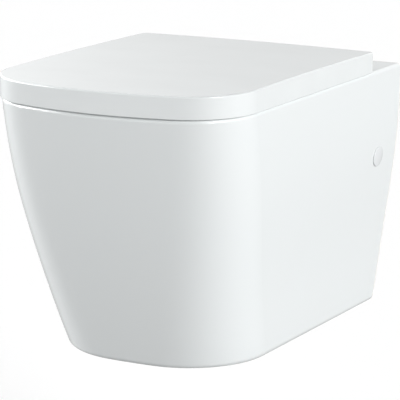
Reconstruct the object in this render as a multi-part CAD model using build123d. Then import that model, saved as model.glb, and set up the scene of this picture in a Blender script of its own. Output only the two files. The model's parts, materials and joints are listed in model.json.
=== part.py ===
from build123d import *

import os
from math import asin, cos, radians, sin, sqrt, tan

# Wall hung toilet: ceramic pan, seat, lid, quick release hinges, wall fixings and connections.
# Millimetres, +Z up, the front faces -Y. The wall is the plane y = 0, and the origin lies on it
# midway between the two wall studs.

# Margins of the modelling itself: how far a cut runs past a face, how deep a joined piece starts
# inside its neighbour, and how near counts as the same place.
OVERRUN = 1.0
EMBED = 2.0
NEAR = 0.01

# Pan, outside. Depths are measured down from the deck, projections out from the wall.
DECK_Z = 90.0
PAN_HEIGHT = 344.0
PAN_WIDTH = 357.0
PAN_PROJECTION = 533.5
CORNER_RADIUS = 92.0
FOOT_CORNER_RADIUS = 114.0
FRONT_BOW_RADIUS = 430.0
FOOT_BOW_RADIUS = 540.0
SIDE_STRAIGHT = 12.0
SIDE_CURVE_RADIUS = 1000.0
SIDE_SLOPE_DEG = 8.4
FRONT_LEAN_DEG = 8.6
FRONT_CURVE_RADIUS = 1600.0
SKIRT_SECTIONS = 6
RIM_ROUND = 5.0
FOOT_ROUND = 9.0

# Pan, ceramic thicknesses.
SKIRT_WALL = 10.0
DECK_THICKNESS = 13.0
FLOOR_THICKNESS = 11.0
BOWL_WALL = 10.0
PIPE_WALL = 9.0

# Bowl, inside: height above the studs, middle from the wall, half length and half width.
BOWL_SECTIONS = (
    (DECK_Z, 322.0, 173.0, 131.0),
    (62.0, 322.0, 176.0, 134.0),
    (10.0, 318.0, 166.0, 124.0),
    (-60.0, 306.0, 130.0, 98.0),
    (-130.0, 288.0, 82.0, 66.0),
    (-185.0, 276.0, 56.0, 48.0),
    (-240.0, 267.0, 34.0, 31.0),
)
BOWL_EDGE_ROUND = 6.0

# Trapway and outlet, in the middle plane.
OUTLET_Z = -100.0
TRAP_BORE_RADIUS = 30.0
TRAP_SEAL = 50.0
TRAP_START = 262.0
TRAP_FOOT = 184.0
TRAP_RISE_DEG = 60.0
TRAP_BEND_RADIUS = 60.0
SPIGOT_RADIUS = 51.0
SPIGOT_BORE_RADIUS = 42.0
SPIGOT_START = 54.0
SPIGOT_END = 8.0
SPIGOT_LEAD = 7.0
SPIGOT_CONE = 14.0

# Flush inlet, in the middle plane.
INLET_Z = 35.0
INLET_BORE_RADIUS = 27.5
INLET_MOUTH = 34.0
INLET_SOCKET_END = 98.0
INLET_PORT_WIDTH = 96.0
INLET_PORT_HEIGHT = 24.0
INLET_PORT_Z = 50.0
INLET_PORT_ROUND = 11.0
INLET_PORT_AT = 160.0
INLET_THROAT_RADIUS = 23.5

# Wall studs and brackets.
STUD_SPACING = 180.0
STUD_HOLE_RADIUS = 6.5
BRACKET_PLATE = 4.0
BRACKET_MARGIN = 24.0
BRACKET_TOP_Z = 24.0
BRACKET_BEND = 3.0
BRACKET_NECK = 22.0
BRACKET_SLOPE = 16.0
NUT_FLATS = 19.0
NUT_HEIGHT = 10.0
NUT_BORE_RADIUS = 6.05
STUD_WASHER_RADIUS = 12.0
STUD_WASHER_THICKNESS = 2.5

# Side fixing through the ceramic.
SIDE_FIX_Y = 58.0
SIDE_FIX_Z = -32.0
SIDE_BOSS_SET_IN = 32.5
SIDE_BOSS_RADIUS = 21.0
SIDE_HOLE_RADIUS = 5.5
SIDE_RECESS_RADIUS = 11.0
SIDE_RECESS_DEPTH = 12.5
ARM_HALF_HEIGHT = 24.0
ARM_REACH = 86.0
ARM_END_ROUND = 12.0
CLAMP_CLEARANCE = 0.4
CLAMP_SCREW_RADIUS = 4.0
CLAMP_HEAD_RADIUS = 6.5
CLAMP_HEAD_HEIGHT = 5.0
CLAMP_SOCKET_FLATS = 5.0
CLAMP_SOCKET_DEPTH = 3.0
CLAMP_WASHER_RADIUS = 9.0
CLAMP_WASHER_THICKNESS = 1.6
CLAMP_BLOCK_SIZE = 28.0
CLAMP_BLOCK_LENGTH = 16.0
CLAMP_BLOCK_ROUND = 5.6
CLAMP_SCREW_OVERRUN = 4.0
CAP_RADIUS = 14.0
CAP_THICKNESS = 2.4
CAP_CROWN = 1.0
CAP_GAP = 0.15
CAP_STEM_RADIUS = 10.2
CAP_STEM_LENGTH = 4.2

# Flush pipe and its seal.
SEAL_CLEARANCE = 0.1
FLUSH_PIPE_RADIUS = 22.5
FLUSH_PIPE_WALL = 2.0
FLUSH_PIPE_FRONT = 90.0
FLUSH_PIPE_REAR = 58.0
FLUSH_BEAD_RADIUS = 24.5
FLUSH_BEAD_WIDTH = 4.0
FLUSH_BEAD_AT = 6.0
FLUSH_SEAL_FRONT = 80.0
FLUSH_SEAL_LIP_RADIUS = 34.0
FLUSH_SEAL_LIP = 3.0
FLUSH_SEAL_WAIST = 2.2
FLUSH_SEAL_RIBS = 3

# A sealing rib's crest and foot, as shares of the pitch between ribs.
RIB_CREST_START = 0.35
RIB_CREST_END = 0.55
RIB_FOOT_END = 0.9

# Waste connector and its seal.
WASTE_PIPE_RADIUS = 45.0
WASTE_PIPE_WALL = 3.0
WASTE_PIPE_REAR = 90.0
WASTE_SOCKET_FRONT = 42.0
WASTE_SOCKET_REAR = 2.0
WASTE_SOCKET_GAP = 4.0
WASTE_SOCKET_WALL = 3.5
WASTE_CONE_LENGTH = 12.0
WASTE_SEAL_LENGTH = 12.0
WASTE_SEAL_SET_IN = 4.0
WASTE_SEAL_WAIST = 1.6
WASTE_SEAL_RIBS = 2

# Seat and lid, outside.
LID_SIDE_OVERHANG = 1.5
LID_FRONT_OVERHANG = 2.0
LID_REAR = 88.0
LID_GAP = 2.0
LID_TOP = 30.0
LID_WALL = 4.0
LID_REAR_WALL = 3.2
LID_REAR_CORNER = 8.0
LID_CROWN_RADIUS = 11000.0
LID_CROWN_RISE = 1.6
LID_TOP_ROUND = 2.0
LID_EDGE_ROUND = 1.0
LID_REAR_LIFT = 9.0
LID_HEEL_ROUND = 8.0
SEAT_CLEARANCE = 2.0
SEAT_GAP = 5.0
SEAT_TOP = 22.5
SEAT_WALL = 4.5
SEAT_REAR_SET = 18.0
SEAT_REAR_CORNER = 16.0
SEAT_REAR_BLOCK = 26.0
SEAT_HOLE_CENTRE = 341.0
SEAT_HOLE_HALF_LENGTH = 139.0
SEAT_HOLE_HALF_WIDTH = 111.0
SEAT_OUTER_ROUND = 5.0
SEAT_INNER_ROUND = 7.0
SEAT_RIB = 3.0
SEAT_RIB_COUNT = 10

# Hinges. The axis runs across the pan at this height above the deck and distance from the wall.
HINGE_SPACING = 155.0
HINGE_HEIGHT = 20.5
HINGE_FROM_WALL = 100.0
PIN_RADIUS = 3.5
PIN_CLEARANCE = 0.05
PIN_HEAD_RADIUS = 5.0
PIN_HEAD = 1.5
KNUCKLE_RADIUS = 5.2
POST_WIDTH = 15.0
POST_REAR = 16.6
POST_DEPTH = 14.6
POST_ARM_TOP = 4.6
POST_ARM_UNDER = 3.6
POST_SHOULDER = 6.0
LUG_RADIUS = 6.0
LUG_WIDTH = 9.0
LUG_TOP = 1.5
SIDE_PLAY = 0.5
BUSH_WALL = 1.1
BUSH_CLEARANCE = 0.03
GROOVE_CLEARANCE = 0.5
DAMPER_RADIUS = 5.8
DAMPER_LENGTH = 33.0
DAMPER_CLEARANCE = 0.05
DAMPER_PIN_DEPTH = 8.0
DAMPER_CAP_LENGTH = 5.0
DAMPER_NECK = 0.5
SADDLE_WIDTH = 5.0
SADDLE_DEPTH = 7.4
SADDLE_HEEL = 2.5
SADDLE_INSET = 4.0
SEAT_DAMPER_SIDE = -1
LID_RIB_RADIUS = 8.0
POST_NOTCH_PLAY = 2.0

# Quick release: peg on the deck, latch plate in the post.
PEG_SET = 24.0
PEG_RADIUS = 3.5
PEG_TOP = 8.0
PEG_GROOVE_RADIUS = 2.4
PEG_GROOVE_LOW = 13.2
PEG_GROOVE_HIGH = 10.2
PEG_COLLAR_RADIUS = 6.0
PEG_COLLAR = 2.6
PEG_CLEARANCE = 0.05
PEG_END_CHAMFER = 0.8
LATCH_TRAVEL = 3.2
LATCH_WIDTH = 9.6
LATCH_PLAY = 0.2
LATCH_SLOT_CLEARANCE = 0.1
LATCH_KEYHOLE_CLEARANCE = 0.2
LATCH_WEB = 1.6
BUTTON_WIDTH = 10.6
BUTTON_HEIGHT = 7.0
BUTTON_STANDS_OUT = 3.4
BUTTON_ROUND = 1.2

# Anchors of the pegs under the deck.
BASE_RADIUS = 15.0
BASE_THICKNESS = 2.5
BASE_EDGE = 1.0
ANCHOR_HOLE_RADIUS = 8.0
ANCHOR_SHANK_RADIUS = 4.0
ANCHOR_CLEARANCE = 0.1
ANCHOR_BUSH_LENGTH = 28.0
ANCHOR_BUSH_PLAY = 0.3
ANCHOR_BUSH_SPREAD = 2.5
ANCHOR_NUT_FLATS = 13.0
ANCHOR_NUT_HEIGHT = 6.5
ANCHOR_OVERRUN = 3.0

# Buffers: place across and from the wall.
SEAT_BUFFERS = ((138.0, 205.0), (112.0, 452.0))
LID_BUFFERS = ((138.0, 260.0), (104.0, 478.0))
SEAT_BUFFER_RADIUS = 9.0
SEAT_BUFFER_STEM = 4.0
SEAT_BUFFER_STEM_LENGTH = 5.0
LID_BUFFER_RADIUS = 6.0
LID_BUFFER_STEM = 3.0
LID_BUFFER_STEM_LENGTH = 2.0
BUFFER_SEAT_GAP = 0.3
BUFFER_CLEARANCE = 0.05
BUFFER_ROUND = 1.0

# Worked out from the driving dimensions.
PAN_BOTTOM_Z = DECK_Z - PAN_HEIGHT
SIDE_BOSS_FACE_X = PAN_WIDTH / 2 - SIDE_BOSS_SET_IN
BRACKET_INNER_X = STUD_SPACING / 2 - BRACKET_MARGIN
LID_WIDTH = PAN_WIDTH + 2 * LID_SIDE_OVERHANG
LID_PROJECTION = PAN_PROJECTION + LID_FRONT_OVERHANG
HINGE_Y = -HINGE_FROM_WALL
HINGE_Z = DECK_Z + HINGE_HEIGHT
LID_REAR_SET = HINGE_FROM_WALL - LID_REAR
LID_UNDER_Z = DECK_Z + LID_TOP - LID_WALL
SEAT_UNDER_Z = DECK_Z + SEAT_GAP
SEAT_TOP_Z = DECK_Z + SEAT_TOP
SEAT_INSET = LID_WALL + SEAT_CLEARANCE
PEG_Y = HINGE_Y - PEG_SET
BASE_TOP_Z = DECK_Z + BASE_THICKNESS
TRAP_FOOT_Z = OUTLET_Z - 2 * TRAP_BORE_RADIUS - TRAP_SEAL
HINGE_X = HINGE_SPACING / 2
POST_INNER_X = HINGE_X - POST_WIDTH / 2
POST_OUTER_X = HINGE_X + POST_WIDTH / 2
SEAT_LUG_X = POST_OUTER_X + SIDE_PLAY
LID_LUG_X = SEAT_LUG_X + LUG_WIDTH + SIDE_PLAY
PIN_HEAD_X = LID_LUG_X + LUG_WIDTH + SIDE_PLAY
DAMPER_X = POST_INNER_X - SIDE_PLAY
DAMPER_END_X = DAMPER_X - DAMPER_LENGTH
KNUCKLE_GROOVE_RADIUS = LUG_RADIUS + GROOVE_CLEARANCE
GROOVE_END_X = PIN_HEAD_X + PIN_HEAD + SIDE_PLAY
SIDES = (-1, 1)


# General helpers

def near(value, target):
    return abs(value - target) < NEAR


def rod(radius, start, end):
    """Cylinder between two points."""
    axis = Vector(*end) - Vector(*start)
    return extrude(Plane(start, z_dir=axis) * Circle(radius), axis.length)


def tube(outer, inner, start, end):
    """Pipe between two points."""
    axis = Vector(*end) - Vector(*start)
    return extrude(Plane(start, z_dir=axis) * (Circle(outer) - Circle(inner)), axis.length)


def turned(points, start, axis):
    """Solid of revolution from (radius, distance along the axis) points."""
    profile = make_face(Polyline(*[(r, 0, h) for r, h in points], close=True))
    body = revolve(profile, Axis.Z, 360)
    return Plane(start, z_dir=axis).location * body


def block(x, y, z):
    """Box between three pairs of limits."""
    middle = Pos(sum(x) / 2, sum(y) / 2, sum(z) / 2)
    return middle * Box(abs(x[1] - x[0]), abs(y[1] - y[0]), abs(z[1] - z[0]))


def across(profile, low, high):
    """Profile of points (forward from the hinge axis, up from it), extruded between two x."""
    plane = Plane((max(low, high), HINGE_Y, HINGE_Z), x_dir=(0, -1, 0), z_dir=(-1, 0, 0))
    return extrude(plane * profile, abs(high - low))


def group(solids):
    """Several separate solids written as one node."""
    return Compound(children=[Solid(s.solid().wrapped) for s in solids])


def on_both_sides(make):
    """Left and right solids of a pair."""
    return group([make(side) for side in SIDES])


# Plan outlines

def outline(half_width, front, corner, bow, rear, rear_corner=0.0):
    """Plan outline with a straight back, straight sides, round corners and a bowed front."""
    centre_x = half_width - corner
    reach = bow - corner
    bow_y = bow - front
    centre_y = bow_y - sqrt(reach**2 - centre_x**2)
    scale = bow / reach
    meet = (centre_x * scale, bow_y + (centre_y - bow_y) * scale)
    edges = []
    for side in (1, -1):
        edges.append(Line((side * half_width, -rear - rear_corner), (side * half_width, centre_y)))
        edges.append(TangentArc((side * half_width, centre_y), (side * meet[0], meet[1]), tangent=(0, -1)))
        if rear_corner:
            back = (side * (half_width - rear_corner), -rear)
            edges.append(TangentArc((side * half_width, -rear - rear_corner), back, tangent=(0, 1)))
    edges.append(ThreePointArc(meet, (0, -front), (-meet[0], meet[1])))
    back_x = half_width - rear_corner
    edges.append(Line((-back_x, -rear), (back_x, -rear)))
    return make_face(edges)


def side_set_in(depth):
    """How far the pan's side lies inside its deck edge at a depth."""
    if depth <= SIDE_STRAIGHT:
        return 0.0
    turn = radians(SIDE_SLOPE_DEG)
    curved = depth - SIDE_STRAIGHT
    if curved <= SIDE_CURVE_RADIUS * sin(turn):
        return SIDE_CURVE_RADIUS - sqrt(SIDE_CURVE_RADIUS**2 - curved**2)
    below = curved - SIDE_CURVE_RADIUS * sin(turn)
    return SIDE_CURVE_RADIUS * (1 - cos(turn)) + below * tan(turn)


def front_set_in(depth):
    """How far the pan's front lies behind its deck edge at a depth."""
    lean = radians(FRONT_LEAN_DEG)
    turn = asin(sin(lean) + depth / FRONT_CURVE_RADIUS)
    return FRONT_CURVE_RADIUS * (cos(lean) - cos(turn))


def skirt(inset, top, bottom, rear):
    """Outer form of the pan, moved in by inset, between two depths."""
    faces = []
    for step in range(SKIRT_SECTIONS):
        depth = top + (bottom - top) * step / (SKIRT_SECTIONS - 1)
        half_width = PAN_WIDTH / 2 - side_set_in(depth) - inset
        front = PAN_PROJECTION - front_set_in(depth) - inset
        share = depth / PAN_HEIGHT
        corner = CORNER_RADIUS + (FOOT_CORNER_RADIUS - CORNER_RADIUS) * share
        bow = FRONT_BOW_RADIUS + (FOOT_BOW_RADIUS - FRONT_BOW_RADIUS) * share
        plan = outline(half_width, front, corner - inset, bow - inset, rear)
        faces.append(Pos(0, 0, DECK_Z - depth) * plan)
    return loft(faces)


# Ceramic pan

def bowl_form(grow, lift=0.0):
    """Bowl surface grown outwards by a wall, its top raised by lift."""
    faces = []
    for step, (height, middle, half_length, half_width) in enumerate(BOWL_SECTIONS):
        level = height + (lift if step == 0 else 0)
        if grow and step == len(BOWL_SECTIONS) - 1:
            level = max(level - grow, PAN_BOTTOM_Z)
        faces.append(Pos(0, -middle, level) * Ellipse(half_width + grow, half_length + grow))
    return loft(faces)


def trap_path():
    """Middle line of the trapway: out of the sump, up over the weir and back to the wall."""
    rise = OUTLET_Z - TRAP_FOOT_Z
    crest = TRAP_FOOT - rise / tan(radians(TRAP_RISE_DEG))
    points = (
        (0, -TRAP_START, TRAP_FOOT_Z),
        (0, -TRAP_FOOT, TRAP_FOOT_Z),
        (0, -crest, OUTLET_Z),
        (0, -SPIGOT_START, OUTLET_Z),
    )
    return FilletPolyline(*points, radius=TRAP_BEND_RADIUS)


def swept(radius, path):
    return sweep(Plane(path @ 0, z_dir=path % 0) * Circle(radius), path=path)


def outlet(pipe_radius, spigot_radius, end):
    """Taper from the trapway to the outlet spigot and the spigot itself."""
    length = SPIGOT_START - end
    points = (
        (0, -SPIGOT_LEAD),
        (pipe_radius, -SPIGOT_LEAD),
        (pipe_radius, 0),
        (spigot_radius, SPIGOT_CONE),
        (spigot_radius, length),
        (0, length),
    )
    return turned(points, (0, -SPIGOT_START, OUTLET_Z), (0, 1, 0))


def inlet_channel(grow):
    """Channel from the inlet socket to the wide port in the bowl's rear wall."""
    socket = Plane((0, -INLET_SOCKET_END, INLET_Z), z_dir=(0, -1, 0), x_dir=(1, 0, 0))
    port = Plane((0, -INLET_PORT_AT, INLET_PORT_Z), z_dir=(0, -1, 0), x_dir=(1, 0, 0))
    width = INLET_PORT_WIDTH + 2 * grow
    height = INLET_PORT_HEIGHT + 2 * grow
    start = socket * Circle(INLET_THROAT_RADIUS + grow)
    end = port * RectangleRounded(width, height, INLET_PORT_ROUND + grow)
    return loft([start, end])


def side_outer_x(z):
    """Half width of the pan's outside at a height."""
    return PAN_WIDTH / 2 - side_set_in(DECK_Z - z)


RECESS_FLOOR_X = side_outer_x(SIDE_FIX_Z) - SIDE_RECESS_DEPTH


def ceramic_pan():
    outer = skirt(0, 0, PAN_HEIGHT, -OVERRUN)
    curved = [e for e in outer.edges() if e.center().Y < -OVERRUN]
    rim = [e for e in curved if e.center().Z > DECK_Z - OVERRUN]
    outer = fillet(rim, RIM_ROUND)
    curved = [e for e in outer.edges() if e.center().Y < -OVERRUN]
    foot = [e for e in curved if e.center().Z < PAN_BOTTOM_Z + OVERRUN]
    outer = fillet(foot, FOOT_ROUND)
    outer -= block((-PAN_WIDTH, PAN_WIDTH), (0, 2 * OVERRUN), (PAN_BOTTOM_Z - OVERRUN, DECK_Z + OVERRUN))
    cavity = skirt(SKIRT_WALL, DECK_THICKNESS, PAN_HEIGHT - FLOOR_THICKNESS, -2 * OVERRUN)
    body = outer - cavity

    path = trap_path()
    solid_parts = [
        bowl_form(BOWL_WALL),
        swept(TRAP_BORE_RADIUS + PIPE_WALL, path),
        outlet(TRAP_BORE_RADIUS + PIPE_WALL, SPIGOT_RADIUS, SPIGOT_END),
        rod(INLET_BORE_RADIUS + PIPE_WALL, (0, -INLET_MOUTH, INLET_Z),
            (0, -INLET_SOCKET_END - OVERRUN, INLET_Z)),
        inlet_channel(PIPE_WALL),
    ]
    for side in SIDES:
        face = (side * SIDE_BOSS_FACE_X, -SIDE_FIX_Y, SIDE_FIX_Z)
        skin = (side * PAN_WIDTH / 2, -SIDE_FIX_Y, SIDE_FIX_Z)
        solid_parts.append(rod(SIDE_BOSS_RADIUS, face, skin))
    for piece in solid_parts:
        body += piece & outer

    openings = [
        bowl_form(0, lift=OVERRUN),
        swept(TRAP_BORE_RADIUS, path),
        Pos(0, -TRAP_START, TRAP_FOOT_Z) * Sphere(TRAP_BORE_RADIUS),
        outlet(TRAP_BORE_RADIUS, SPIGOT_BORE_RADIUS, SPIGOT_END - OVERRUN),
        rod(INLET_BORE_RADIUS, (0, -INLET_MOUTH + OVERRUN, INLET_Z), (0, -INLET_SOCKET_END, INLET_Z)),
        inlet_channel(0),
    ]
    for side in SIDES:
        openings.append(rod(ANCHOR_HOLE_RADIUS, (side * HINGE_X, PEG_Y, DECK_Z + OVERRUN),
                            (side * HINGE_X, PEG_Y, DECK_Z - DECK_THICKNESS - OVERRUN)))
        start = (side * (SIDE_BOSS_FACE_X - OVERRUN), -SIDE_FIX_Y, SIDE_FIX_Z)
        floor = (side * RECESS_FLOOR_X, -SIDE_FIX_Y, SIDE_FIX_Z)
        past = (side * (PAN_WIDTH / 2 + OVERRUN), -SIDE_FIX_Y, SIDE_FIX_Z)
        openings.append(rod(SIDE_HOLE_RADIUS, start, floor))
        openings.append(rod(SIDE_RECESS_RADIUS, floor, past))
    for opening in openings:
        body -= opening
    deck = [f for f in body.faces() if f.center().Z > DECK_Z - NEAR][0]
    lip = deck.inner_wires().sort_by(SortBy.LENGTH)[-1]
    return fillet(lip.edges(), BOWL_EDGE_ROUND)


# Wall fixings

def wall_bracket(side):
    """Steel angle: flange on the wall round the stud, arm along the ceramic boss."""
    face_x = SIDE_BOSS_FACE_X
    bottom_z = SIDE_FIX_Z - ARM_HALF_HEIGHT
    arm_top_z = SIDE_FIX_Z + ARM_HALF_HEIGHT
    flange = Pos((BRACKET_INNER_X + face_x) / 2, -BRACKET_PLATE / 2) * Rectangle(
        face_x - BRACKET_INNER_X, BRACKET_PLATE)
    arm = Pos(face_x - BRACKET_PLATE / 2, -ARM_REACH / 2) * Rectangle(BRACKET_PLATE, ARM_REACH)
    plan = flange + arm
    inner = [v for v in plan.vertices() if near(v.X, face_x - BRACKET_PLATE) and near(v.Y, -BRACKET_PLATE)]
    plan = fillet(inner, BRACKET_BEND)
    outer = [v for v in plan.vertices() if near(v.X, face_x) and near(v.Y, 0)]
    plan = fillet(outer, BRACKET_BEND + BRACKET_PLATE)
    body = extrude(Pos(0, 0, bottom_z) * plan, BRACKET_TOP_Z - bottom_z)
    side_view = Polyline(
        (OVERRUN, bottom_z), (OVERRUN, BRACKET_TOP_Z), (-BRACKET_NECK, BRACKET_TOP_Z),
        (-BRACKET_NECK - BRACKET_SLOPE, arm_top_z), (-ARM_REACH, arm_top_z),
        (-ARM_REACH, bottom_z), close=True)
    mask = make_face(side_view)
    ends = [v for v in mask.vertices() if near(v.X, -ARM_REACH)]
    mask = fillet(ends, ARM_END_ROUND)
    body &= extrude(Plane.YZ * mask, PAN_WIDTH)
    hole_x = STUD_SPACING / 2
    body -= rod(STUD_HOLE_RADIUS, (hole_x, OVERRUN, 0), (hole_x, -BRACKET_PLATE - OVERRUN, 0))
    body -= rod(CLAMP_SCREW_RADIUS + CLAMP_CLEARANCE,
                (face_x - BRACKET_PLATE - OVERRUN, -SIDE_FIX_Y, SIDE_FIX_Z),
                (face_x + OVERRUN, -SIDE_FIX_Y, SIDE_FIX_Z))
    return body if side > 0 else mirror(body, Plane.YZ)


def stud_washer(side):
    x = side * STUD_SPACING / 2
    return tube(STUD_WASHER_RADIUS, STUD_HOLE_RADIUS, (x, -BRACKET_PLATE, 0),
                (x, -BRACKET_PLATE - STUD_WASHER_THICKNESS, 0))


def hexagon(flats):
    return RegularPolygon(flats / 2, 6, major_radius=False)


def stud_nut(side):
    start = -BRACKET_PLATE - STUD_WASHER_THICKNESS
    plane = Plane((side * STUD_SPACING / 2, start, 0), z_dir=(0, -1, 0))
    return extrude(plane * (hexagon(NUT_FLATS) - Circle(NUT_BORE_RADIUS)), NUT_HEIGHT)


def clamp_plane(side, x):
    """Plane across the side screw's axis, facing outwards."""
    return Plane((side * x, -SIDE_FIX_Y, SIDE_FIX_Z), x_dir=(0, 1, 0), z_dir=(side, 0, 0))


def clamp_block(side):
    low = SIDE_BOSS_FACE_X - BRACKET_PLATE - CLAMP_BLOCK_LENGTH
    profile = RectangleRounded(CLAMP_BLOCK_SIZE, CLAMP_BLOCK_SIZE, CLAMP_BLOCK_ROUND)
    profile -= Circle(CLAMP_SCREW_RADIUS + BUSH_CLEARANCE)
    return extrude(clamp_plane(side, low) * profile, CLAMP_BLOCK_LENGTH)


def clamp_washer(side):
    profile = Circle(CLAMP_WASHER_RADIUS) - Circle(CLAMP_SCREW_RADIUS + CLAMP_CLEARANCE)
    return extrude(clamp_plane(side, RECESS_FLOOR_X) * profile, CLAMP_WASHER_THICKNESS)


def clamp_screw(side):
    head_x = RECESS_FLOOR_X + CLAMP_WASHER_THICKNESS
    end_x = SIDE_BOSS_FACE_X - BRACKET_PLATE - CLAMP_BLOCK_LENGTH - CLAMP_SCREW_OVERRUN
    body = extrude(clamp_plane(side, end_x) * Circle(CLAMP_SCREW_RADIUS), head_x - end_x)
    body += extrude(clamp_plane(side, head_x) * Circle(CLAMP_HEAD_RADIUS), CLAMP_HEAD_HEIGHT)
    socket_x = head_x + CLAMP_HEAD_HEIGHT - CLAMP_SOCKET_DEPTH
    body -= extrude(clamp_plane(side, socket_x) * hexagon(CLAMP_SOCKET_FLATS), CLAMP_SOCKET_DEPTH + OVERRUN)
    return body


def side_cap(side):
    """Crowned plug over the side hole, square to the sloping ceramic."""
    slope = asin((DECK_Z - SIDE_FIX_Z - SIDE_STRAIGHT) / SIDE_CURVE_RADIUS)
    outwards = Vector(side * cos(slope), 0, -sin(slope))
    start = Vector(side * side_outer_x(SIDE_FIX_Z), -SIDE_FIX_Y, SIDE_FIX_Z) + outwards * CAP_GAP
    edge = CAP_THICKNESS - CAP_CROWN
    crown_radius = (CAP_RADIUS**2 + CAP_CROWN**2) / (2 * CAP_CROWN)
    half = CAP_RADIUS / 2
    half_rise = CAP_CROWN - (crown_radius - sqrt(crown_radius**2 - half**2))
    profile = make_face([
        Line((0, 0, -CAP_STEM_LENGTH), (CAP_STEM_RADIUS, 0, -CAP_STEM_LENGTH)),
        Line((CAP_STEM_RADIUS, 0, -CAP_STEM_LENGTH), (CAP_STEM_RADIUS, 0, 0)),
        Line((CAP_STEM_RADIUS, 0, 0), (CAP_RADIUS, 0, 0)),
        Line((CAP_RADIUS, 0, 0), (CAP_RADIUS, 0, edge)),
        ThreePointArc((CAP_RADIUS, 0, edge), (half, 0, edge + half_rise), (0, 0, CAP_THICKNESS)),
        Line((0, 0, CAP_THICKNESS), (0, 0, -CAP_STEM_LENGTH)),
    ])
    body = revolve(profile, Axis.Z, 360)
    return Plane(start, z_dir=outwards).location * body


# Flush and waste connections

def flush_pipe():
    outer, inner = FLUSH_PIPE_RADIUS, FLUSH_PIPE_RADIUS - FLUSH_PIPE_WALL
    length = FLUSH_PIPE_FRONT + FLUSH_PIPE_REAR
    bead = FLUSH_PIPE_FRONT - FLUSH_BEAD_AT
    points = (
        (inner, 0), (outer, 0), (outer, bead), (FLUSH_BEAD_RADIUS, bead),
        (FLUSH_BEAD_RADIUS, bead + FLUSH_BEAD_WIDTH), (outer, bead + FLUSH_BEAD_WIDTH),
        (outer, length), (inner, length),
    )
    return turned(points, (0, -FLUSH_PIPE_FRONT, INLET_Z), (0, 1, 0))


def ribbed_seal(inner, outer, waist, length, ribs):
    """Points of a seal's section: sealing ribs with a thinner waist between them."""
    pitch = length / ribs
    points = [(inner, 0)]
    for step in range(ribs):
        low = step * pitch
        points.append((waist, low))
        points.append((outer, low + pitch * RIB_CREST_START))
        points.append((outer, low + pitch * RIB_CREST_END))
        points.append((waist, low + pitch * RIB_FOOT_END))
    points.append((waist, length))
    return points


def flush_seal():
    """Rubber cuff round the flush pipe in the inlet socket, with a lip over the socket's mouth."""
    length = FLUSH_SEAL_FRONT - INLET_MOUTH
    inner = FLUSH_PIPE_RADIUS + SEAL_CLEARANCE
    outer = INLET_BORE_RADIUS - SEAL_CLEARANCE
    points = ribbed_seal(inner, outer, outer - FLUSH_SEAL_WAIST, length, FLUSH_SEAL_RIBS)
    lip_end = length + FLUSH_SEAL_LIP
    points += [(FLUSH_SEAL_LIP_RADIUS, length), (FLUSH_SEAL_LIP_RADIUS, lip_end), (inner, lip_end)]
    return turned(points, (0, -FLUSH_SEAL_FRONT, INLET_Z), (0, 1, 0))


def waste_pipe():
    """Waste connector: socket round the spigot, taper and the pipe behind the wall."""
    socket = SPIGOT_RADIUS + WASTE_SOCKET_GAP
    bore = WASTE_PIPE_RADIUS - WASTE_PIPE_WALL
    floor = WASTE_SOCKET_FRONT + WASTE_SOCKET_REAR
    taper = floor + WASTE_CONE_LENGTH
    end = WASTE_SOCKET_FRONT + WASTE_PIPE_REAR
    points = (
        (socket, 0), (socket + WASTE_SOCKET_WALL, 0), (socket + WASTE_SOCKET_WALL, floor),
        (WASTE_PIPE_RADIUS, taper), (WASTE_PIPE_RADIUS, end), (bore, end),
        (bore, taper - WASTE_PIPE_WALL / 2), (socket, floor - WASTE_PIPE_WALL / 2),
    )
    return turned(points, (0, -WASTE_SOCKET_FRONT, OUTLET_Z), (0, 1, 0))


def waste_seal():
    inner = SPIGOT_RADIUS + SEAL_CLEARANCE
    outer = SPIGOT_RADIUS + WASTE_SOCKET_GAP - SEAL_CLEARANCE
    start = WASTE_SOCKET_FRONT - WASTE_SEAL_SET_IN
    points = ribbed_seal(inner, outer, outer - WASTE_SEAL_WAIST, WASTE_SEAL_LENGTH, WASTE_SEAL_RIBS)
    points.append((inner, WASTE_SEAL_LENGTH))
    return turned(points, (0, -start, OUTLET_Z), (0, 1, 0))


# Hinges

def strip(forward, up):
    """Rectangle in the hinge's side view, between limits forward of the axis and above it."""
    middle = Pos(sum(forward) / 2, sum(up) / 2)
    return middle * Rectangle(forward[1] - forward[0], up[1] - up[0])


def hinge_base(side):
    body = tube(BASE_RADIUS, ANCHOR_SHANK_RADIUS + ANCHOR_CLEARANCE,
                (side * HINGE_X, PEG_Y, DECK_Z), (side * HINGE_X, PEG_Y, BASE_TOP_Z))
    top = body.faces().sort_by(Axis.Z)[-1]
    rim = top.edges().sort_by(SortBy.LENGTH)[-1]
    return chamfer(rim, BASE_EDGE)


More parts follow.
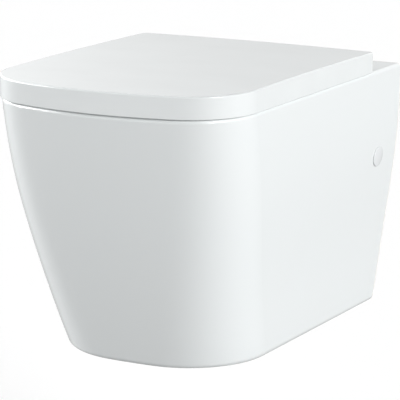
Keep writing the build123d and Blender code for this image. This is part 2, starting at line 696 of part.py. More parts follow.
def hinge_post(side):
    """Post over the peg, with an arm back to the pin."""
    front = POST_REAR + POST_DEPTH
    low = BASE_TOP_Z - HINGE_Z
    profile = Circle(KNUCKLE_RADIUS)
    profile += strip((0, front), (-POST_ARM_UNDER, POST_ARM_TOP))
    profile += strip((POST_REAR, front), (low, POST_ARM_TOP))
    shoulder = [v for v in profile.vertices() if near(v.X, front) and near(v.Y, POST_ARM_TOP)]
    profile = fillet(shoulder, POST_SHOULDER)
    body = across(profile, side * POST_INNER_X, side * POST_OUTER_X)
    body -= rod(PIN_RADIUS + PIN_CLEARANCE, (side * (POST_INNER_X - OVERRUN), HINGE_Y, HINGE_Z),
                (side * (POST_OUTER_X + OVERRUN), HINGE_Y, HINGE_Z))
    body -= rod(PEG_RADIUS + PEG_CLEARANCE, (side * HINGE_X, PEG_Y, BASE_TOP_Z - OVERRUN),
                (side * HINGE_X, PEG_Y, HINGE_Z - PEG_TOP + LATCH_PLAY))
    body -= rod(PEG_COLLAR_RADIUS + PEG_CLEARANCE, (side * HINGE_X, PEG_Y, BASE_TOP_Z - OVERRUN),
                (side * HINGE_X, PEG_Y, BASE_TOP_Z + PEG_COLLAR + LATCH_PLAY))
    half = LATCH_WIDTH / 2 + LATCH_PLAY
    slot = strip((POST_REAR - OVERRUN, front + OVERRUN), (-PEG_GROOVE_LOW, -PEG_GROOVE_HIGH))
    body -= across(slot, side * HINGE_X - half, side * HINGE_X + half)
    half = BUTTON_WIDTH / 2 + LATCH_PLAY
    middle = -(PEG_GROOVE_LOW + PEG_GROOVE_HIGH) / 2
    reach = BUTTON_HEIGHT / 2 + LATCH_PLAY
    recess = strip((front - LATCH_TRAVEL, front + OVERRUN), (middle - reach, middle + reach))
    return body - across(recess, side * HINGE_X - half, side * HINGE_X + half)


def release_button(side):
    """Button with the keyhole plate that holds the post on its peg."""
    front = POST_REAR + POST_DEPTH
    slot = PEG_GROOVE_RADIUS + LATCH_SLOT_CLEARANCE
    keyhole_y = PEG_Y - LATCH_TRAVEL
    rear = PEG_SET - slot - LATCH_WEB
    levels = (-PEG_GROOVE_LOW + LATCH_PLAY, -PEG_GROOVE_HIGH - LATCH_PLAY)
    half = LATCH_WIDTH / 2
    x = side * HINGE_X
    plate = across(strip((rear, front + LATCH_PLAY), levels), x - half, x + half)
    low, high = HINGE_Z - PEG_GROOVE_LOW, HINGE_Z - PEG_GROOVE_HIGH
    plate -= rod(PEG_RADIUS + LATCH_KEYHOLE_CLEARANCE, (x, keyhole_y, low), (x, keyhole_y, high))
    plate -= rod(slot, (x, PEG_Y, low), (x, PEG_Y, high))
    plate -= block((x - slot, x + slot), (keyhole_y, PEG_Y), (low, high))
    middle = sum(levels) / 2
    reach = BUTTON_HEIGHT / 2
    face = strip((front + LATCH_PLAY, front + BUTTON_STANDS_OUT), (middle - reach, middle + reach))
    head = across(face, x - BUTTON_WIDTH / 2, x + BUTTON_WIDTH / 2)
    rim = head.faces().sort_by(Axis.Y)[0].edges()
    return plate + fillet(rim, BUTTON_ROUND)


def hinge_peg(side):
    """Threaded peg: shank through the deck, collar on the base, grooved head for the latch."""
    base = BASE_TOP_Z - HINGE_Z
    end = -HINGE_HEIGHT - ANCHOR_BUSH_PLAY - ANCHOR_BUSH_LENGTH - ANCHOR_NUT_HEIGHT - ANCHOR_OVERRUN
    collar = base + PEG_COLLAR
    points = (
        (0, end), (ANCHOR_SHANK_RADIUS, end), (ANCHOR_SHANK_RADIUS, base), (PEG_COLLAR_RADIUS, base),
        (PEG_COLLAR_RADIUS, collar), (PEG_RADIUS, collar), (PEG_RADIUS, -PEG_GROOVE_LOW),
        (PEG_GROOVE_RADIUS, -PEG_GROOVE_LOW), (PEG_GROOVE_RADIUS, -PEG_GROOVE_HIGH),
        (PEG_RADIUS, -PEG_GROOVE_HIGH), (PEG_RADIUS, -PEG_TOP - PEG_END_CHAMFER),
        (PEG_RADIUS - PEG_END_CHAMFER, -PEG_TOP), (0, -PEG_TOP),
    )
    return turned(points, (side * HINGE_X, PEG_Y, HINGE_Z), (0, 0, 1))


def anchor_bush(side):
    """Rubber sleeve in the deck hole, spread under the deck by the nut."""
    inner = ANCHOR_SHANK_RADIUS + ANCHOR_CLEARANCE
    outer = ANCHOR_HOLE_RADIUS - ANCHOR_BUSH_PLAY
    spread = outer + ANCHOR_BUSH_SPREAD
    under = DECK_THICKNESS
    end = ANCHOR_BUSH_LENGTH
    points = (
        (inner, 0), (outer, 0), (outer, -under), (spread, -under - ANCHOR_BUSH_SPREAD),
        (spread, -end + ANCHOR_BUSH_SPREAD), (outer, -end), (inner, -end),
    )
    return turned(points, (side * HINGE_X, PEG_Y, DECK_Z - ANCHOR_BUSH_PLAY), (0, 0, 1))


def anchor_nut(side):
    z = DECK_Z - ANCHOR_BUSH_PLAY - ANCHOR_BUSH_LENGTH - ANCHOR_NUT_HEIGHT
    profile = hexagon(ANCHOR_NUT_FLATS) - Circle(ANCHOR_SHANK_RADIUS + BUSH_CLEARANCE)
    return extrude(Pos(side * HINGE_X, PEG_Y, z) * profile, ANCHOR_NUT_HEIGHT)


def along_pin(side, x):
    return (side * x, HINGE_Y, HINGE_Z)


def hinge_pin(side):
    body = rod(PIN_RADIUS, along_pin(side, DAMPER_X - DAMPER_PIN_DEPTH), along_pin(side, PIN_HEAD_X))
    return body + rod(PIN_HEAD_RADIUS, along_pin(side, PIN_HEAD_X), along_pin(side, PIN_HEAD_X + PIN_HEAD))


def bush(side, x):
    bore = PIN_RADIUS + PIN_CLEARANCE
    return tube(bore + BUSH_WALL, bore, along_pin(side, x), along_pin(side, x + LUG_WIDTH))


LUG_BORE_RADIUS = PIN_RADIUS + PIN_CLEARANCE + BUSH_WALL + BUSH_CLEARANCE


def damper(side):
    """Damper barrel with a blind bore for the pin and a crimped cap at its far end."""
    bore = PIN_RADIUS + PIN_CLEARANCE
    depth = DAMPER_PIN_DEPTH + SIDE_PLAY
    crimp = DAMPER_LENGTH - DAMPER_CAP_LENGTH
    neck = DAMPER_RADIUS - DAMPER_NECK
    points = (
        (0, depth), (bore, depth), (bore, 0), (DAMPER_RADIUS, 0), (DAMPER_RADIUS, crimp),
        (neck, crimp + DAMPER_NECK), (DAMPER_RADIUS, crimp + 2 * DAMPER_NECK),
        (DAMPER_RADIUS, DAMPER_LENGTH), (0, DAMPER_LENGTH),
    )
    return turned(points, along_pin(side, DAMPER_X), (-side, 0, 0))


def damper_ribs(side, profile):
    """Two ribs of one profile near the damper's ends."""
    inset = SADDLE_INSET
    body = across(profile, side * (DAMPER_END_X + inset), side * (DAMPER_END_X + inset + SADDLE_WIDTH))
    return body + across(profile, side * (DAMPER_X - inset - SADDLE_WIDTH), side * (DAMPER_X - inset))


# Seat

def lid_plan(inset, rear, rear_corner=0.0):
    return outline(LID_WIDTH / 2 - inset, LID_PROJECTION - inset, CORNER_RADIUS - inset,
                   FRONT_BOW_RADIUS - inset, rear, rear_corner)


def seat_plan(inset, rear, rear_corner=0.0):
    """The seat's outline: the lid's, inside its skirt."""
    return lid_plan(SEAT_INSET + inset, rear, rear_corner)


def seat_hole(grow):
    return Pos(0, -SEAT_HOLE_CENTRE) * Ellipse(SEAT_HOLE_HALF_WIDTH + grow, SEAT_HOLE_HALF_LENGTH + grow)


def mirrored(places):
    """Both sides of a list of places across and from the wall."""
    return [(side * x, -y) for x, y in places for side in SIDES]


def seat_ring():
    rear = HINGE_FROM_WALL + SEAT_REAR_SET
    plan = seat_plan(0, rear, SEAT_REAR_CORNER) - seat_hole(0)
    body = extrude(Pos(0, 0, SEAT_UNDER_Z) * plan, SEAT_TOP - SEAT_GAP)
    top = body.faces().sort_by(Axis.Z)[-1]
    body = fillet(top.inner_wires()[0].edges(), SEAT_INNER_ROUND)
    top = body.faces().sort_by(Axis.Z)[-1]
    body = fillet(top.outer_wire().edges(), SEAT_OUTER_ROUND)

    pocket = seat_plan(SEAT_WALL, rear + SEAT_REAR_BLOCK) - seat_hole(SEAT_WALL)
    for step in range(SEAT_RIB_COUNT):
        turn = 360 * (step + 0.5) / SEAT_RIB_COUNT
        rib = Rot(0, 0, turn) * Pos(LID_PROJECTION / 2, 0) * Rectangle(LID_PROJECTION, SEAT_RIB)
        pocket -= Pos(0, -SEAT_HOLE_CENTRE) * rib
    for x, y in mirrored(SEAT_BUFFERS):
        pocket -= Pos(x, y) * Circle(SEAT_BUFFER_RADIUS)
    body -= extrude(Pos(0, 0, SEAT_UNDER_Z - OVERRUN) * pocket, SEAT_TOP - SEAT_GAP - SEAT_WALL + OVERRUN)
    hole_top = SEAT_UNDER_Z + SEAT_BUFFER_STEM_LENGTH + BUFFER_SEAT_GAP
    for x, y in mirrored(SEAT_BUFFERS):
        body -= rod(SEAT_BUFFER_STEM + BUFFER_CLEARANCE, (x, y, SEAT_UNDER_Z - OVERRUN), (x, y, hole_top))

    button_front = POST_REAR + POST_DEPTH + BUTTON_STANDS_OUT + POST_NOTCH_PLAY
    half = POST_WIDTH / 2 + POST_NOTCH_PLAY
    notch = strip((0, button_front), (-HINGE_HEIGHT, HINGE_HEIGHT))
    lug = Circle(LUG_RADIUS) + strip((0, SEAT_REAR_SET + EMBED), (-LUG_RADIUS, LUG_TOP))
    for side in SIDES:
        body -= across(notch, side * HINGE_X - half, side * HINGE_X + half)
        body += across(lug, side * SEAT_LUG_X, side * (SEAT_LUG_X + LUG_WIDTH))
        body -= rod(LUG_BORE_RADIUS, along_pin(side, SEAT_LUG_X - SIDE_PLAY),
                    along_pin(side, SEAT_LUG_X + LUG_WIDTH + SIDE_PLAY))
    saddle = strip((-SADDLE_HEEL, SEAT_REAR_SET + EMBED), (-SADDLE_DEPTH, LUG_TOP))
    saddle -= Circle(DAMPER_RADIUS + DAMPER_CLEARANCE)
    saddle = saddle.faces().sort_by(SortBy.AREA)[-1]
    return body + damper_ribs(SEAT_DAMPER_SIDE, saddle)


def buffer(x, y, bottom, top, radius, stem, stem_length):
    """Rubber foot with a stem pressed into the piece above it."""
    pad = rod(radius, (x, y, bottom), (x, y, top))
    edge = pad.faces().sort_by(Axis.Z)[0].edges()
    return fillet(edge, BUFFER_ROUND) + rod(stem, (x, y, top), (x, y, top + stem_length))


# Lid

def lid():
    low = DECK_Z + LID_GAP
    crown_z = DECK_Z + LID_TOP + LID_CROWN_RISE
    body = extrude(Pos(0, 0, low) * lid_plan(0, LID_REAR, LID_REAR_CORNER), crown_z - low + OVERRUN)
    middle = (LID_PROJECTION + LID_REAR) / 2
    body &= Pos(0, -middle, crown_z - LID_CROWN_RADIUS) * Sphere(LID_CROWN_RADIUS)
    top = body.faces().sort_by(Axis.Z)[-1]
    body = fillet(top.edges(), LID_TOP_ROUND)
    bottom = body.faces().sort_by(Axis.Z)[0]
    body = fillet(bottom.edges(), LID_EDGE_ROUND)

    hollow = lid_plan(LID_WALL, LID_REAR + LID_REAR_WALL, LID_REAR_CORNER - LID_REAR_WALL)
    body -= extrude(Pos(0, 0, low - OVERRUN) * hollow, LID_UNDER_Z - low + OVERRUN)
    groove = KNUCKLE_GROOVE_RADIUS
    body -= rod(groove, along_pin(-1, GROOVE_END_X), along_pin(1, GROOVE_END_X))

    wall = LID_REAR_SET
    heel_top = LID_GAP - HINGE_HEIGHT + LID_HEEL_ROUND
    heel = strip((-wall - OVERRUN, -wall + LID_HEEL_ROUND), (-HINGE_HEIGHT, heel_top))
    heel -= Pos(-wall + LID_HEEL_ROUND, heel_top) * Circle(LID_HEEL_ROUND)
    body -= across(heel, -LID_WIDTH, LID_WIDTH)
    through_wall = (-wall - OVERRUN, -wall + LID_REAR_WALL + OVERRUN)
    rear_lift = strip(through_wall, (-HINGE_HEIGHT, LID_REAR_LIFT - HINGE_HEIGHT))
    half = LID_WIDTH / 2 - LID_REAR_CORNER
    body -= across(rear_lift, -half, half)

    inside = LID_UNDER_Z - HINGE_Z
    notch = strip(through_wall, (-HINGE_HEIGHT, inside))
    lug = Circle(LUG_RADIUS) + strip((-LUG_RADIUS, LUG_RADIUS), (0, inside + LID_WALL / 2))
    half = POST_WIDTH / 2 + POST_NOTCH_PLAY
    for side in SIDES:
        body -= across(notch, side * HINGE_X - half, side * HINGE_X + half)
        body += across(lug, side * LID_LUG_X, side * (LID_LUG_X + LUG_WIDTH))
        body -= rod(LUG_BORE_RADIUS, along_pin(side, LID_LUG_X), along_pin(side, LID_LUG_X + LUG_WIDTH))
    rib = Circle(LID_RIB_RADIUS) + strip((-LID_RIB_RADIUS, LID_RIB_RADIUS), (0, inside + LID_WALL / 2))
    rib -= Circle(DAMPER_RADIUS + DAMPER_CLEARANCE)
    body += damper_ribs(-SEAT_DAMPER_SIDE, rib)
    for x, y in mirrored(LID_BUFFERS):
        top_z = LID_UNDER_Z + LID_BUFFER_STEM_LENGTH + BUFFER_CLEARANCE
        body -= rod(LID_BUFFER_STEM + BUFFER_CLEARANCE, (x, y, LID_UNDER_Z - OVERRUN), (x, y, top_z))
    return body


def seat_buffers():
    return group([
        buffer(x, y, DECK_Z + BUFFER_SEAT_GAP, SEAT_UNDER_Z, SEAT_BUFFER_RADIUS, SEAT_BUFFER_STEM,
               SEAT_BUFFER_STEM_LENGTH)
        for x, y in mirrored(SEAT_BUFFERS)
    ])


def lid_buffers():
    return group([
        buffer(x, y, SEAT_TOP_Z + BUFFER_SEAT_GAP, LID_UNDER_Z, LID_BUFFER_RADIUS, LID_BUFFER_STEM,
               LID_BUFFER_STEM_LENGTH)
        for x, y in mirrored(LID_BUFFERS)
    ])


NODES = {
    "ceramic_pan": ceramic_pan(),
    "seat_ring": seat_ring(),
    "seat_buffers": seat_buffers(),
    "seat_bushes": on_both_sides(lambda side: bush(side, SEAT_LUG_X)),
    "seat_damper": damper(SEAT_DAMPER_SIDE),
    "lid": lid(),
    "lid_buffers": lid_buffers(),
    "lid_bushes": on_both_sides(lambda side: bush(side, LID_LUG_X)),
    "lid_damper": damper(-SEAT_DAMPER_SIDE),
    "hinge_pins": on_both_sides(hinge_pin),
    "hinge_pegs": on_both_sides(hinge_peg),
    "anchor_bushes": on_both_sides(anchor_bush),
    "anchor_nuts": on_both_sides(anchor_nut),
    "stud_washers": on_both_sides(stud_washer),
    "stud_nuts": on_both_sides(stud_nut),
    "clamp_blocks": on_both_sides(clamp_block),
    "clamp_washers": on_both_sides(clamp_washer),
    "clamp_screws": on_both_sides(clamp_screw),
    "flush_pipe": flush_pipe(),
    "flush_seal": flush_seal(),
    "waste_pipe": waste_pipe(),
    "waste_seal": waste_seal(),
}
for hand, side in (("left", -1), ("right", 1)):
    NODES[f"hinge_base_{hand}"] = hinge_base(side)
    NODES[f"hinge_post_{hand}"] = hinge_post(side)
    NODES[f"release_button_{hand}"] = release_button(side)
    NODES[f"wall_bracket_{hand}"] = wall_bracket(side)
    NODES[f"side_cap_{hand}"] = side_cap(side)

os.makedirs("parts", exist_ok=True)
for name, shape in NODES.items():
    export_step(shape, f"parts/{name}.step")
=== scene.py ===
"""Looks of a wall hung toilet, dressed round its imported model.

The frame is the model's own: +X to the right as seen from the front, +Y into the wall and +Z up, with the
origin on the wall's face, midway between the two wall studs. Blender's lengths are metres. The pieces' sizes
are given in millimetres and become metres where a mesh is made.
"""

import json
import logging
from collections.abc import Callable, Mapping, Sequence
from dataclasses import dataclass, field
from enum import Enum
from math import cos, pi, radians, sin, tan
from typing import Any

import bmesh
import bpy
from mathutils import Matrix, Vector

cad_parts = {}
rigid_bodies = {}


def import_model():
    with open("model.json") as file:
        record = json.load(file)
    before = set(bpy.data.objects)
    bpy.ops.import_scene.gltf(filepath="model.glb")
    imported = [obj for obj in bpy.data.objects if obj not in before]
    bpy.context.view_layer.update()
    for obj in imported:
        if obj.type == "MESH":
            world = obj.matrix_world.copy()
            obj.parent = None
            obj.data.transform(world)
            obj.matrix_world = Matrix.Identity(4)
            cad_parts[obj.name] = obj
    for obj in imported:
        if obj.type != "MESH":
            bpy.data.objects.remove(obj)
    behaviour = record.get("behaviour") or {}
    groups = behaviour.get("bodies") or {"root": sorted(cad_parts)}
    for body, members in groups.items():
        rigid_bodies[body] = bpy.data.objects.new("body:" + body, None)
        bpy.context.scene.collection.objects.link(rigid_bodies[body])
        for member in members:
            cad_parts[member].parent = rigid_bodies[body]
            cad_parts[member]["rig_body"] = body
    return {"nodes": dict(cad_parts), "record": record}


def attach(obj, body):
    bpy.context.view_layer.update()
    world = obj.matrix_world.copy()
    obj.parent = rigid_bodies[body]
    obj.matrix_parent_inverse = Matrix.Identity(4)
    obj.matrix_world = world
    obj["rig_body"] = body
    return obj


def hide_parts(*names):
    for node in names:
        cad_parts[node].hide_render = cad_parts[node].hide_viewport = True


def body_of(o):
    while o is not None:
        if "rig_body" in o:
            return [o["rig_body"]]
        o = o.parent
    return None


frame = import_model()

LOG = logging.getLogger("toilet")
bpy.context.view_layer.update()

MM = 0.001
SAME_PLACE = 0.000001
SAME_PLACE_IN_MODEL = 0.000004
SHARP_DEG = 35.0
SIDES = (-1, 1)
HANDS = (("left", -1), ("right", 1))
INTO_WALL = (0.0, 1.0, 0.0)

Colour = tuple[float, float, float]
Point = tuple[float, float, float]
Section = Sequence[tuple[float, float, float]]


# Node writing


class Wire:
    """One value in a node tree. Arithmetic on it adds the Math nodes."""

    def __init__(self, book: "NodeBook", socket: bpy.types.NodeSocket) -> None:
        """Wraps a socket.

        Args:
            book: The node tree's writer.
            socket: The output that carries the value.
        """
        self.book = book
        self.socket = socket

    def _math(self, operation: str, *values: "Wire | float", clamp: bool = False) -> "Wire":
        """Adds a Math node.

        Args:
            operation: The node's operation.
            values: Its inputs, in order.
            clamp: Whether the result is held between 0 and 1.

        Returns:
            The node's result.
        """
        made = self.book.node("ShaderNodeMath", {"operation": operation, "use_clamp": clamp},
                              dict(enumerate(values)))
        return Wire(self.book, made.outputs[0])

    def __add__(self, other: "Wire | float") -> "Wire":
        """Sum."""
        return self._math("ADD", self, other)

    __radd__ = __add__

    def __sub__(self, other: "Wire | float") -> "Wire":
        """Difference."""
        return self._math("SUBTRACT", self, other)

    def __rsub__(self, other: "Wire | float") -> "Wire":
        """Difference from a number."""
        return self._math("SUBTRACT", other, self)

    def __mul__(self, other: "Wire | float") -> "Wire":
        """Product."""
        return self._math("MULTIPLY", self, other)

    __rmul__ = __mul__

    def __truediv__(self, other: "Wire | float") -> "Wire":
        """Quotient."""
        return self._math("DIVIDE", self, other)

    def __pow__(self, other: "Wire | float") -> "Wire":
        """Power."""
        return self._math("POWER", self, other)

    def __abs__(self) -> "Wire":
        """Size without sign."""
        return self._math("ABSOLUTE", self)

    def root(self) -> "Wire":
        """Square root."""
        return self._math("SQRT", self)

    def at_least(self, other: "Wire | float") -> "Wire":
        """The larger of two values."""
        return self._math("MAXIMUM", self, other)

    def rise(self, low: float, high: float) -> "Wire":
        """Goes from 0 at low to 1 at high and stays there.

        Args:
            low: Value where the rise starts.
            high: Value where it ends; it may be the smaller of the two.

        Returns:
            A share from 0 to 1.
        """
        slope = 1.0 / (high - low)
        return self._math("MULTIPLY_ADD", self, slope, -low * slope, clamp=True)

    def eased_rise(self, low: float, high: float) -> "Wire":
        """Goes from 0 at low to 1 at high with soft ends."""
        made = self.book.node("ShaderNodeMapRange", {"interpolation_type": "SMOOTHSTEP", "clamp": True},
                              {"Value": self, "From Min": low, "From Max": high})
        return self.book.out(made, "Result")


class NodeBook:
    """Writes nodes into one node tree."""

    def __init__(self, tree: bpy.types.NodeTree) -> None:
        """Starts on an empty tree.

        Args:
            tree: The tree that takes the nodes.
        """
        self.tree = tree
        self.tree.nodes.clear()

    def node(self, kind: str, settings: Mapping[str, Any] | None = None,
             inputs: Mapping[str | int, Any] | None = None) -> bpy.types.Node:
        """Adds any node.

        Args:
            kind: The node's type.
            settings: Its properties, set first.
            inputs: Values or wires by socket name, identifier or number.

        Returns:
            The new node.
        """
        made = self.tree.nodes.new(kind)
        for key, value in (settings or {}).items():
            setattr(made, key, value)
        for key, value in (inputs or {}).items():
            socket = self._socket(made, key)
            if isinstance(value, Wire):
                self.tree.links.new(value.socket, socket)
            elif socket.type == "RGBA":
                socket.default_value = (*value, 1.0)
            else:
                socket.default_value = value
        return made

    @staticmethod
    def _socket(made: bpy.types.Node, key: str | int) -> bpy.types.NodeSocket:
        """Finds an input by number, identifier or name."""
        if isinstance(key, int):
            return made.inputs[key]
        named = [s for s in made.inputs if s.identifier == key] or [s for s in made.inputs if s.name == key]
        return named[0]

    def out(self, made: bpy.types.Node, name: str) -> Wire:
        """A node's output by identifier or name."""
        return Wire(self, next(s for s in made.outputs if name in (s.identifier, s.name)))


class ShaderBook(NodeBook):
    """Writes the node tree of one material, or of the world round the object."""

    def __init__(self, owner: bpy.types.Material | bpy.types.World) -> None:
        """Starts with an empty tree.

        Args:
            owner: The material or world that holds the tree.
        """
        owner.use_nodes = True
        super().__init__(owner.node_tree)
        self.owner = owner
        self._place: Wire | None = None

    @property
    def place(self) -> Wire:
        """Object coordinates."""
        if self._place is None:
            self._place = self.out(self.node("ShaderNodeTexCoord"), "Object")
        return self._place

    def axes(self) -> tuple[Wire, Wire, Wire]:
        """Object coordinates as three numbers."""
        split = self.node("ShaderNodeSeparateXYZ", inputs={0: self.place})
        return self.out(split, "X"), self.out(split, "Y"), self.out(split, "Z")

    def noise(self, size: float, detail: float = 2.0, stretch: Point = (1.0, 1.0, 1.0)) -> Wire:
        """Cloudy noise on object coordinates.

        Args:
            size: Length of one cloud.
            detail: How many finer octaves it has.
            stretch: How many times longer the clouds are along each axis.

        Returns:
            Noise from 0 to 1, around 0.5.
        """
        scale = tuple(1.0 / (size * s) for s in stretch)
        mapped = self.node("ShaderNodeMapping", inputs={"Vector": self.place, "Scale": scale})
        made = self.node("ShaderNodeTexNoise", inputs={
            "Vector": self.out(mapped, "Vector"), "Scale": 1.0, "Detail": detail, "Roughness": 0.5})
        return Wire(self, made.outputs[0])

    def mix(self, factor: Wire | float, first: Wire | Colour, second: Wire | Colour) -> Wire:
        """Blend of two colours."""
        made = self.node("ShaderNodeMix", {"data_type": "RGBA"},
                         {"Factor_Float": factor, "A_Color": first, "B_Color": second})
        return self.out(made, "Result_Color")

    def bump(self, height: Wire, distance: float, under: Wire | None = None) -> Wire:
        """Normal bent by a height.

        Args:
            height: The height, in units of distance.
            distance: Length of one unit.
            under: A normal that this bump is laid over.

        Returns:
            The bent normal.
        """
        inputs: dict[str | int, Any] = {"Strength": 1.0, "Distance": distance, "Height": height}
        if under is not None:
            inputs["Normal"] = under
        return self.out(self.node("ShaderNodeBump", inputs=inputs), "Normal")

    def finish(self, inputs: Mapping[str | int, Any]) -> bpy.types.Material:
        """Ends the tree in a Principled shader.

        Args:
            inputs: The shader's values and wires by socket name.

        Returns:
            The finished material.
        """
        shader = self.node("ShaderNodeBsdfPrincipled", inputs=inputs)
        self.node("ShaderNodeOutputMaterial", inputs={"Surface": self.out(shader, "BSDF")})
        return self.owner


class GeometryBook(NodeBook):
    """Writes a geometry tree with named sizes and turns its result into a plain mesh."""

    KINDS = {int: "NodeSocketInt", float: "NodeSocketFloat", tuple: "NodeSocketVector"}

    def __init__(self, name: str, sizes: Mapping[str, int | float | Point]) -> None:
        """Starts a tree with one input for each size.

        Args:
            name: The tree's name, and the mesh's.
            sizes: The inputs' values by name.
        """
        super().__init__(bpy.data.node_groups.new(name, "GeometryNodeTree"))
        self.name = name
        self.sizes = sizes
        self.tree.interface.new_socket("Geometry", in_out="INPUT", socket_type="NodeSocketGeometry")
        for label, value in sizes.items():
            self.tree.interface.new_socket(label, in_out="INPUT", socket_type=self.KINDS[type(value)])
        self.tree.interface.new_socket("Geometry", in_out="OUTPUT", socket_type="NodeSocketGeometry")
        self.given = self.node("NodeGroupInput")

    def size(self, name: str) -> Wire:
        """The wire of a named size, or of the form that the tree is given."""
        return self.out(self.given, name)

    def geometry(self, kind: str, settings: Mapping[str, Any] | None = None,
                 inputs: Mapping[str | int, Any] | None = None, name: str = "Geometry") -> Wire:
        """Adds a node and gives its geometry output."""
        return self.out(self.node(kind, settings, inputs), name)

    def mesh(self, shape: Wire, finish: bpy.types.Material,
             form: bpy.types.Mesh | None = None) -> bpy.types.Mesh:
        """Ends the tree and runs it once.

        Args:
            shape: The geometry that the tree has made.
            finish: The material that it gets.
            form: The mesh that the tree is given, if it repeats one.

        Returns:
            The result as a plain mesh.
        """
        whole = self.geometry("GeometryNodeRealizeInstances", inputs={"Geometry": shape})
        dressed = self.geometry("GeometryNodeSetMaterial", inputs={"Geometry": whole, "Material": finish})
        self.node("NodeGroupOutput", inputs={"Geometry": dressed})
        holder = bpy.data.objects.new(self.name, form or bpy.data.meshes.new(self.name))
        bpy.context.scene.collection.objects.link(holder)
        modifier = holder.modifiers.new(self.name, "NODES")
        modifier.node_group = self.tree
        for item in self.tree.interface.items_tree:
            if item.in_out == "INPUT" and item.name in self.sizes:
                modifier[item.identifier] = self.sizes[item.name]
        bpy.context.view_layer.update()
        made = bpy.data.meshes.new_from_object(holder.evaluated_get(bpy.context.evaluated_depsgraph_get()))
        holder.modifiers.remove(modifier)
        bpy.data.objects.remove(holder)
        return made


# Finishes


@dataclass(frozen=True)
class Finish:
    """What every finish of this object has.

    Attributes:
        slot: The record's material slot that it stands for.
        colour: Its main colour, linear.
        roughness: Its middle roughness.
    """

    slot: str
    colour: Colour
    roughness: float

    def material(self) -> bpy.types.Material:
        """The finish's material, made once."""
        name = f"{self.slot}_finish"
        return bpy.data.materials.get(name) or self.paint(ShaderBook(bpy.data.materials.new(name)))

    def paint(self, book: ShaderBook) -> bpy.types.Material:
        """Writes the finish's nodes."""
        raise NotImplementedError


